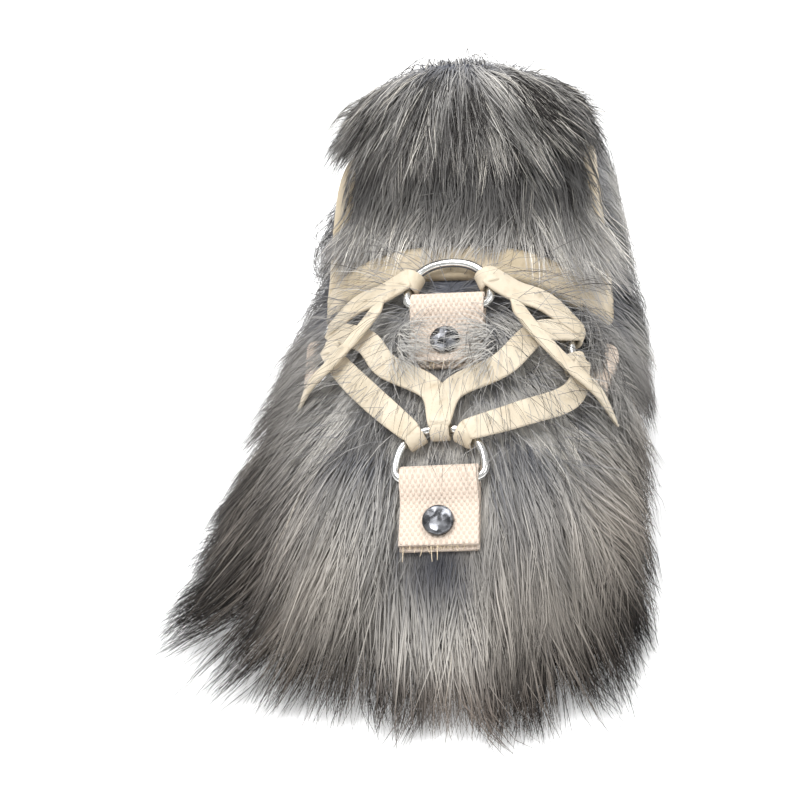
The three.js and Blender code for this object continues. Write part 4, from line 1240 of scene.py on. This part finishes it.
def skin_spots(count):
    """Places for tufts on the skin, spread by area and clear of the binding."""
    y = stations(FIRST_ROOT, LAST_ROOT, 300, 2)[:, None]
    turn = np.linspace(0.03, math.pi - 0.03, 200)[None, :]
    points = skin(y, turn)
    area = span(np.cross(np.gradient(points, axis=0), np.gradient(points, axis=1)))
    _, flat_y, flat_z = points.reshape(-1, 3).T
    gap = np.full(len(flat_y), 1e9)
    for edge_y, edge_z in collar_line[::6]:
        gap = np.minimum(gap, np.hypot(flat_y - edge_y, flat_z - edge_z))
    edge = edge_over(flat_y, ABOVE_ALL)
    clear = np.where(flat_y < 108, BINDING_WIDTH + 0.6, BINDING_WIDTH - 1.5)
    free = ((flat_z < edge) & (gap > clear)).reshape(area.shape)
    dense = lerp(1.5, 1.0, ease(90, 140, np.broadcast_to(y, area.shape)))
    dense = dense * np.where((gap < 20) & (flat_y > 104) & (flat_y < 160), 1.8, 1).reshape(area.shape)
    weight = (area * free * dense).ravel()
    cell = rng.choice(len(weight), count, p=weight / weight.sum())
    row, column = np.unravel_index(cell, area.shape)
    spacing = np.gradient(y[:, 0])[row]
    spot_y = y[row, 0] + rng.uniform(-0.5, 0.5, count) * spacing
    return spot_y, turn[0, column] + rng.uniform(-0.5, 0.5, count) * (turn[0, 1] - turn[0, 0])


def combed(root, normal, way, length, lift, flat, spread, flare):
    """A hair's bend and tip: along its way, lifted off the skin, flared out, falling to what lies under it or
    to the floor, where it lies outwards."""
    rise = lift * (1 - 0.72 * flat)
    out = normal + way * 0.4
    out[:, 2] = 0
    out = unit(out)
    bend = reached(root, way, length * 0.45, normal, rise) + out * (flare * 0.4)[:, None]
    tip = reached(root, way, length * 0.94, normal, rise * 0.7) + out * flare[:, None]
    tip[:, 2] -= length * 0.1
    for place, share in ((bend, 0.9), (tip, 0.55)):
        under = roof(place[:, 0], place[:, 1])
        top = under + np.where(flat > 0.5, 4.2, 60)
        held = np.clip(place[:, 2], under + 0.6 + rise * share * 0.5, top)
        place[:, 2] = np.where(under > OFF_SHOE / 2, held, place[:, 2])
    floor = 1.2 + spread
    low = np.maximum(0, floor - tip[:, 2])
    tip = tip + out * (low * 0.8)[:, None]
    tip[:, 2] = np.maximum(tip[:, 2], floor)
    bend = bend + out * (low * 0.25)[:, None]
    bend[:, 2] = np.maximum(bend[:, 2], floor + 2)
    return bend, tip


def tufted(own, leader, gather):
    """Hairs drawn to their tuft's leader, more so towards their tips."""
    return lerp(own, leader, gather[:, None, None] * ALONG**1.2)


def nearest_of(point, locks):
    """The tuft that leads each tuft's lock: the nearest of some chosen at random."""
    head = rng.choice(len(point), locks, replace=False)
    return head[np.argmin(span(point[:, None] - point[None, head]), axis=1)]


def locked(point, tip, lock, spread):
    """Tufts drawn together into longer locks: each tip leans to the tip of its lock's own tuft."""
    lean = rng.uniform(0.25, 0.8, len(point))[:, None]
    return lerp(tip, tip[lock] + (point - point[lock]) * spread[:, None], lean)


def eased_past(value, limit, give):
    """Values past a limit slowed until they stop a given way beyond it."""
    return np.where(value > limit, limit + give * (1 - np.exp(-np.maximum(0, value - limit) / give)), value)


def kept_in(line):
    """Hairs brushed back where they would stand far outside the shoe's own outline on the floor."""
    x, y, z = np.moveaxis(line, -1, 0)
    own = rng.uniform(-6, 5, (len(line), 1))
    x = eased_past(x, INNER_LIMIT + own + INNER_GIVE_BACK * ease(64, 100, y), SIDE_GIVE)
    x = -eased_past(-x, OUTER_LIMIT + own, SIDE_GIVE)
    y = -eased_past(-y, TOE_LIMIT + own, TOE_GIVE)
    return abreast(x, y, z)


def waved(line, side, of, tufts):
    """Hairs that swing from side to side along their length, those of one tuft much alike."""
    phase = (rng.uniform(0, 6, tufts)[of] + rng.normal(0, 0.5, len(of)))[:, None, None]
    swing = rng.uniform(0.8, 3.0, tufts)[of][:, None, None]
    return line + side[:, None] * (np.sin(ALONG * 5.2 + phase) * ALONG * swing)


def toe_tones(line, colour):
    """Tones by place at the toe: darker to the hem (the fur's own dark tips and painted shade), darker low on
    the inner side (painted shade), cream round a slate patch under the lower tab.
    """
    x, y, z = np.moveaxis(line, -1, 0)[..., None]
    toe = fades(10, 20, y)
    slate = mound((x - 4) / 14, (z - 37) / 13) * toe
    cream = mound((x - 2) / 19, (z - 25) / 8) * toe
    colour = lerp(colour, CREAM * 0.85, 0.5 * cream * rng.random((len(line), 1, 1)))
    colour = lerp(colour, SLATE * SLATE_DEPTH, 0.95 * slate)
    front = fades(70, 120, y)
    # hem: darker low down, partly the fur's own dark tips and partly painted shade where the fur meets the
    # floor. inner: painted shade, darker low on the inner side of the toe.
    hem = np.maximum(fades(6, 26, z) * front * (1 - 0.4 * cream), toe * fades(-6, 9, z + 0.8 * y))
    inner = ease(18, 42, x) * fades(26, 46, z) * toe
    warm = fades(30, 60, z) * front * (1 - 0.85 * mound((x - 2) / 24))
    for tint, share in ((0.9, inner), (WARM, warm), (HEM_DARK_AND_SHADE, hem)):
        colour = colour * lerp(1.0, tint, share)
    return colour


def coat_tones(root, line, tone, lot):
    """The coat's colours, and how near each hair is to the hem: darker and browner low and wide (partly the
    fur's own colour, partly painted shade), paler over the toe, with dark streaks at the sides."""
    aside = root[:, 0] - middle(root[:, 1])
    end = line[:, -1]
    # low and wide: darker, browner and darker-tipped hairs towards the hem and the sides, partly the fur's
    # own colour and partly painted shade where the sides turn away from the light.
    low = np.maximum(fades(24, 60, root[:, 2]), 0.85 * fades(5, 38, end[:, 2]))
    wide = ease(44, 74, np.abs(end[:, 0] - 3))
    patch = mound((aside + 2) / 14, (root[:, 1] - 8) / 16)
    dark = np.clip(0.1 + 0.34 * wide + 0.5 * low - 0.6 * patch + 0.12 * wander(root, 9, 7.0), 0.02, 0.9)
    pale = np.clip(0.2 + 0.4 * patch - 0.28 * wide - 0.2 * low + 0.12 * wander(root, 8, 2.0), 0.02, 0.9)
    brown = np.clip(0.7 * wide + 0.85 * low - 1.4 * patch + 0.2 * wander(root, 12, 5.0), 0, 1)
    fade = np.clip(lerp(0.85, 0.34, np.maximum(low, 0.7 * wide)) + 0.2 * patch, 0, 1)
    colour = hair_colour(len(root), dark, pale, brown, tone - 0.5 * wide + 0.3 * patch, fade, lot)
    streak = fades(0.2, 0.34, lot) * ease(10, 24, np.abs(aside))
    colour = colour * lerp(1.05, 0.6, streak)[:, None, None]
    return toe_tones(line, colour), low


def over_zones(measure, shares, base=0.0):
    """A measure of the coat: a base, and what each of its zones adds by its share."""
    for weight, share in zip(COAT[measure], shares):
        base = base + weight * share
    return base


def upper_fur(tufts, each):
    """The upper's coat: tufts of hairs that share a leader, in pieces round the shoe."""
    spot_y, spot_turn = skin_spots(tufts)
    point, normal, along, over = skin_frame(spot_y, spot_turn)
    x, y, z = point.T
    way = flow(point, normal)
    way = turned_about(way, normal, 0.3 * wander(point, 16, 1.0) + rng.normal(0, 0.1, tufts))
    flat = under_lace(spot_y, spot_turn, x)
    front = fades(60, 110, y)
    outer = ease(8, 36, -x) * fades(45, 105, np.abs(y - 24))
    inner = ease(8, 26, x) * fades(30, 60, np.abs(y - 8))
    far = ease(95, 125, y) * ease(20, 40, -x)
    by_ear = band(y, (95, 115), (128, 150))
    zones = (front, outer, inner, flat, ease(100, 130, y), far, by_ear)
    lock = nearest_of(point, tufts // TUFTS_A_LOCK)
    lot = lerp(rng.random(tufts)[lock], rng.random(tufts), 0.3)
    pointed = (lot < 0.36) * fades(30, 44, z) * front
    length = over_zones("longer", zones, COAT_LENGTH) * rng.uniform(0.84, 1.1, tufts)
    length = length * (1 + 0.28 * pointed)
    lift = over_zones("lift", zones, rng.uniform(5, 11.5, tufts))
    flare = over_zones("flare", zones) + (EAR_FLARE + FAR_EAR_FLARE * far) * by_ear
    flare = flare * rng.uniform(0.5, 1.1, tufts)
    spread = rng.uniform(0, 5, tufts)
    bend, tip = combed(point, normal, way, length, lift, flat, spread, flare)
    tip = locked(point, tip, lock, 0.35 - 0.26 * pointed)
    tone = 0.4 * wander(point, 11, 4.0) + rng.normal(0, 0.6, tufts)[lock] + rng.normal(0, 0.12, tufts)
    tone = tone + (0.34 + 0.16 * ease(8, 30, x)) * front

    count = tufts * each
    of = np.repeat(np.arange(tufts), each)
    size_y, size_t = span(along)[of], span(over)[of]
    own_y = np.clip(spot_y[of] + rng.normal(0, TUFT_SPREAD, count) / size_y, FIRST_ROOT, LAST_ROOT)
    own_turn = np.clip(spot_turn[of] + rng.normal(0, TUFT_SPREAD, count) / size_t, 0.02, math.pi - 0.02)
    root, out, _, _ = skin_frame(own_y, own_turn)
    hem = (root[:, 2] < 36) & (root[:, 1] < 70)
    stray = rng.random(count) < np.where(hem, 0.08, 0.03)
    reach = length[of] * rng.uniform(0.7, 1.05, count) * np.where(stray, 1.18, 1)
    astray = rng.normal(0, 0.07, count) + np.where(stray, rng.normal(0, 0.2, count), 0)
    own_way = turned_about(way[of], out, astray)
    own_lift = lift[of] * rng.uniform(0.35, 1.2, count)
    own_spread = spread[of] + rng.uniform(0, 4, count)
    own_bend, own_tip = combed(root, out, own_way, reach, own_lift, flat[of], own_spread, flare[of])
    leader_tip = lerp(point[of], tip[of], (reach / length[of])[:, None])
    leader = bezier(root * 0.25 + point[of] * 0.75, bend[of], leader_tip)
    gather = lerp(rng.uniform(0.5, 0.92, count), 0.93, pointed[of]) * np.where(stray, 0.2, 1)
    line = tufted(bezier(root, own_bend, own_tip), leader, gather)
    line = waved(line, np.cross(own_way, out), of, tufts)
    line[:, :, 2] = np.maximum(line[:, :, 2], FLOOR_GAP)
    line = kept_in(line)

    colour, low = coat_tones(root, line, tone[of], lot[of])
    width = rng.uniform(0.17, 0.36, count) * (1 + 0.35 * low) * np.where(stray, 0.75, 1)
    x, y, _ = root.T
    quarter = (y >= VAMP_END) & (y < HEEL_START)
    sides = {
        "fur_toe": y < TOE_BACK,
        "fur_vamp": (y >= TOE_BACK) & (y < VAMP_END),
        "fur_outer_side": quarter & (x < 0),
        "fur_inner_side": quarter & (x >= 0),
        "fur_heel": y >= HEEL_START,
    }
    for name, mine in sides.items():
        hair_piece(name, line[mine], out[mine], width[mine], colour[mine], "upper")


# The tongue's fur and the single hairs

UPPER_TIER, LOWER_TIER, TIER_BY_INNER = 36, 25, 11
CROWN_WAIST, TIER_WAIST, EAR_WIDTH, WAIST_HEIGHT, CROWN_HEIGHT = (52, 55), (36, 42), 65, 104, 49


def tongue_frame(share, across):
    """A place on the tongue's front, its outward way and its way down."""
    point = tongue_place(share, across)
    up = unit(tongue_place(share + 0.01, across) - tongue_place(share - 0.01, across))
    side = unit(tongue_place(share, across + 0.01) - tongue_place(share, across - 0.01))
    return point, unit(np.cross(side, up)), -up


def spread_across(count):
    """Places across the tongue, closer together at its edges."""
    return np.sin(rng.uniform(-1, 1, count) * math.pi / 2 * 0.97)


def domed(line, waist):
    """Hairs brushed in to a round crown: few stand far outside an arch over the tongue, which has a waist by
    the ears."""
    z = line[:, :, 2]
    up = np.clip((z - WAIST_HEIGHT) / CROWN_HEIGHT, 0, 0.999)
    limit = lerp(EAR_WIDTH, waist[:, None], ease(82, WAIST_HEIGHT, z)) * np.sqrt(1 - up**1.5)
    limit = limit * np.where(rng.random((len(line), 1)) < 0.07, 1.14, rng.uniform(0.84, 1.04, (len(line), 1)))
    x = line[:, :, 0]
    line[:, :, 0] = np.sign(x) * np.minimum(np.abs(x), limit + 0.12 * np.maximum(0, np.abs(x) - limit))
    return line


def tongue_fur(tufts, each):
    """The tongue's two tiers: hairs that fall forwards and a little outwards from its crown and from its
    middle."""
    high = rng.random(tufts) < 0.5
    share = np.where(high, 1 - 0.16 * rng.random(tufts) ** 1.2, rng.uniform(0.48, 0.8, tufts))
    across = spread_across(tufts)
    point, normal, down = tongue_frame(share, across)
    aside = abreast(across * np.where(high, 0.3, 0.5 + 0.5 * across**2), 0, 0)
    way = unit(down + aside + np.array([0, -0.15, 0]))
    way = turned_about(way, normal, rng.normal(0, 0.2, tufts) + 0.25 * wander(point, 14, 3.0))
    crown = ease(0.88, 1.0, share)
    edge = np.abs(across) ** 3
    lower = LOWER_TIER + TIER_BY_INNER * np.maximum(0, across) ** 3
    length = np.where(high, UPPER_TIER * (1 - 0.36 * edge), lower) * rng.uniform(0.8, 1.12, tufts)
    lift = rng.uniform(4, 11, tufts) * (1 - 0.4 * edge) + np.where(high, 3, 0)
    tone = wander(point, 9, 5.0) * 0.5 + rng.normal(0, 0.3, tufts) - 0.15

    count = tufts * each
    of = np.repeat(np.arange(tufts), each)
    own_share = np.clip(share[of] + rng.normal(0, 0.025, count), 0.3, 1.0)
    own_across = np.clip(across[of] + rng.normal(0, 0.07, count), -1, 1)
    root, out, _ = tongue_frame(own_share, own_across)
    out = unit(out + abreast(own_across * 0.3, 0, 0))
    reach = length[of] * rng.uniform(0.7, 1.05, count)
    stray = rng.random(count) < 0.06
    astray = rng.normal(0, 0.14, count) + np.where(stray, rng.normal(0, 0.5, count), 0)
    own_way = turned_about(way[of], out, astray)
    own_lift = lift[of] * rng.uniform(0.4, 1.15, count)
    crest = (crown * (1 - edge))[of][:, None] * np.array([0, -1.0, 7.0]) * rng.uniform(0.2, 1.0, (count, 1))

    tier = high[of]
    stands_off = np.where(tier, 1.0, 0.7)

    def shape(base, outward, heading, rise):
        bend = reached(base, heading, reach * 0.34, outward, rise) + crest
        return bezier(base, bend, reached(base, heading, reach * 0.95, outward, rise * stands_off))

    leader = shape(lerp(point[of], root, 0.25), normal[of], way[of], lift[of])
    own = shape(root, out, own_way, own_lift)
    line = tufted(own, leader, rng.uniform(0.4, 0.85, count) * np.where(stray, 0.2, 1))
    outer = own_across < 0
    line = domed(line, np.where(tier, np.where(outer, *CROWN_WAIST), np.where(outer, *TIER_WAIST)))
    dark = np.clip(np.where(tier, 0.42, 0.14) + 0.2 * wander(root, 8, 9.0), 0.02, 0.9)
    pale = np.clip(np.where(tier, 0.16, 0.22) + 0.16 * wander(root, 7, 6.0), 0.02, 0.9)
    fade = np.where(tier, 0.5, 0.8)
    colour = hair_colour(count, dark, pale, 0.3, tone[of] - 0.15, fade, rng.random(tufts)[of])
    # Painted shadow under the upper tier's ledge: the lower tier is darker at its top and lighter below. The
    # upper tier is lightened as a whole.
    ledge_shadow = lerp(1.95, 0.6, ease(93, 109, line[:, :, 2:]))
    colour = colour * np.where(tier[:, None, None], 1.2, ledge_shadow)
    hair_piece("fur_tongue", line, out, rng.uniform(0.2, 0.4, count), colour, "tongue")


def crown_hairs(count):
    """Hairs from the tongue's top edge, up and over to its back."""
    across = spread_across(count)
    share = rng.uniform(0.9, 1.0, count)
    depth = tongue["thick"](share) * rng.uniform(0.1, 0.95, count) * (1 - 0.45 * across**2)
    root = tongue_place(share, across, depth)
    fall = depth / tongue["thick"](share)
    out = unit(abreast(across * 0.5, lerp(-0.5, 0.8, fall), 0.8))
    way = unit(abreast(across * 0.5, lerp(-0.4, 0.7, fall), -0.55))
    way = turned_about(way, out, rng.normal(0, 0.3, count))
    length = rng.uniform(16, 27, count)
    bend = reached(root, way, length * 0.2, out, rng.uniform(6, 10, count))
    tip = reached(root, way, length, out, rng.uniform(1.5, 5, count))
    stands = (rng.random(count) < 0.3) * (1 - across**2) * rng.uniform(0.3, 1, count)
    bend[:, 2] += 4 + 4 * stands
    tip[:, 2] += 8 * stands
    tone = wander(root, 9, 5.0) * 0.5 + rng.normal(0, 0.3, count)
    colour = hair_colour(count, 0.25, 0.14, 0.3, tone, 0.7, rng.random(count))
    line = domed(bezier(root, bend, tip), np.where(across < 0, *CROWN_WAIST))
    hair_piece("fur_crown", line, out, rng.uniform(0.2, 0.4, count), colour)


def crossing_hairs(count):
    """Single hairs that rise between the lace's strands and fall across them, and a wisp over the upper
    tab."""
    y = rng.uniform(42, 98, count)
    turn = np.radians(rng.uniform(40, 140, count))
    wisp = rng.random(count) < 0.34
    y = np.where(wisp, rng.uniform(64, 76, count), y)
    left = rng.random(count) < 0.5
    beside = np.where(left, rng.uniform(101, 106, count), rng.uniform(74, 79, count))
    turn = np.where(wisp, np.radians(beside), turn)
    root, out, _, _ = skin_frame(y, turn)
    inwards = abreast(np.where(left, 0.9, -0.9), -0.45, -0.25)
    way = unit(np.where(wisp[:, None], inwards, flow(root, out)))
    way = turned_about(way, out, rng.normal(0, 0.45, count))
    length = np.where(wisp, rng.uniform(9, 20, count), rng.uniform(18, 34, count))
    rise = np.where(wisp, rng.uniform(8, 10.5, count), rng.uniform(9, 14, count))
    bend = reached(root, way, length * 0.4, out, rise * 1.35)
    tip = reached(root, way, length, out, rise * np.where(wisp, 0.98, 0.75))
    looks = ((0.06, 0.75), (0.3, 0.1), (0.0, 0.5), (0.3, 0.0))
    dark, pale, brown, tone = (np.where(wisp, *pair) for pair in looks)
    colour = hair_colour(count, dark, pale, brown, tone, 0.8, rng.random(count))
    width = np.where(wisp, 0.26, rng.uniform(0.13, 0.22, count))
    hair_piece("fur_crossing", bezier(root, bend, tip), out, width, colour)


def side_hairs(count):
    """Hairs that rise behind the inner tab and lie forwards and down across it."""
    y = rng.uniform(84, 104, count)
    turn = np.radians(rng.uniform(22, 44, count))
    root, out, _, _ = skin_frame(y, turn)
    way = np.array([0.2, -0.8, -0.55])
    way = turned_about(unit(way - out * dot(way, out)), out, rng.normal(0, 0.25, count))
    length = rng.uniform(24, 38, count)
    rise = rng.uniform(7, 10, count)
    bend = reached(root, way, length * 0.35, out, rise * 1.3)
    tip = reached(root, way, length, out, rise * 0.8)
    tone = 0.5 * wander(root, 9, 4.0) + rng.normal(0, 0.2, count)
    colour = hair_colour(count, 0.3, 0.15, 0.4, tone, 0.6, rng.random(count))
    hair_piece("fur_side", kept_in(bezier(root, bend, tip)), out, rng.uniform(0.17, 0.32, count), colour)


upper_fur(tufts=3350, each=24)
side_hairs(900)
tongue_fur(tufts=800, each=22)
crown_hairs(4200)
crossing_hairs(1200)
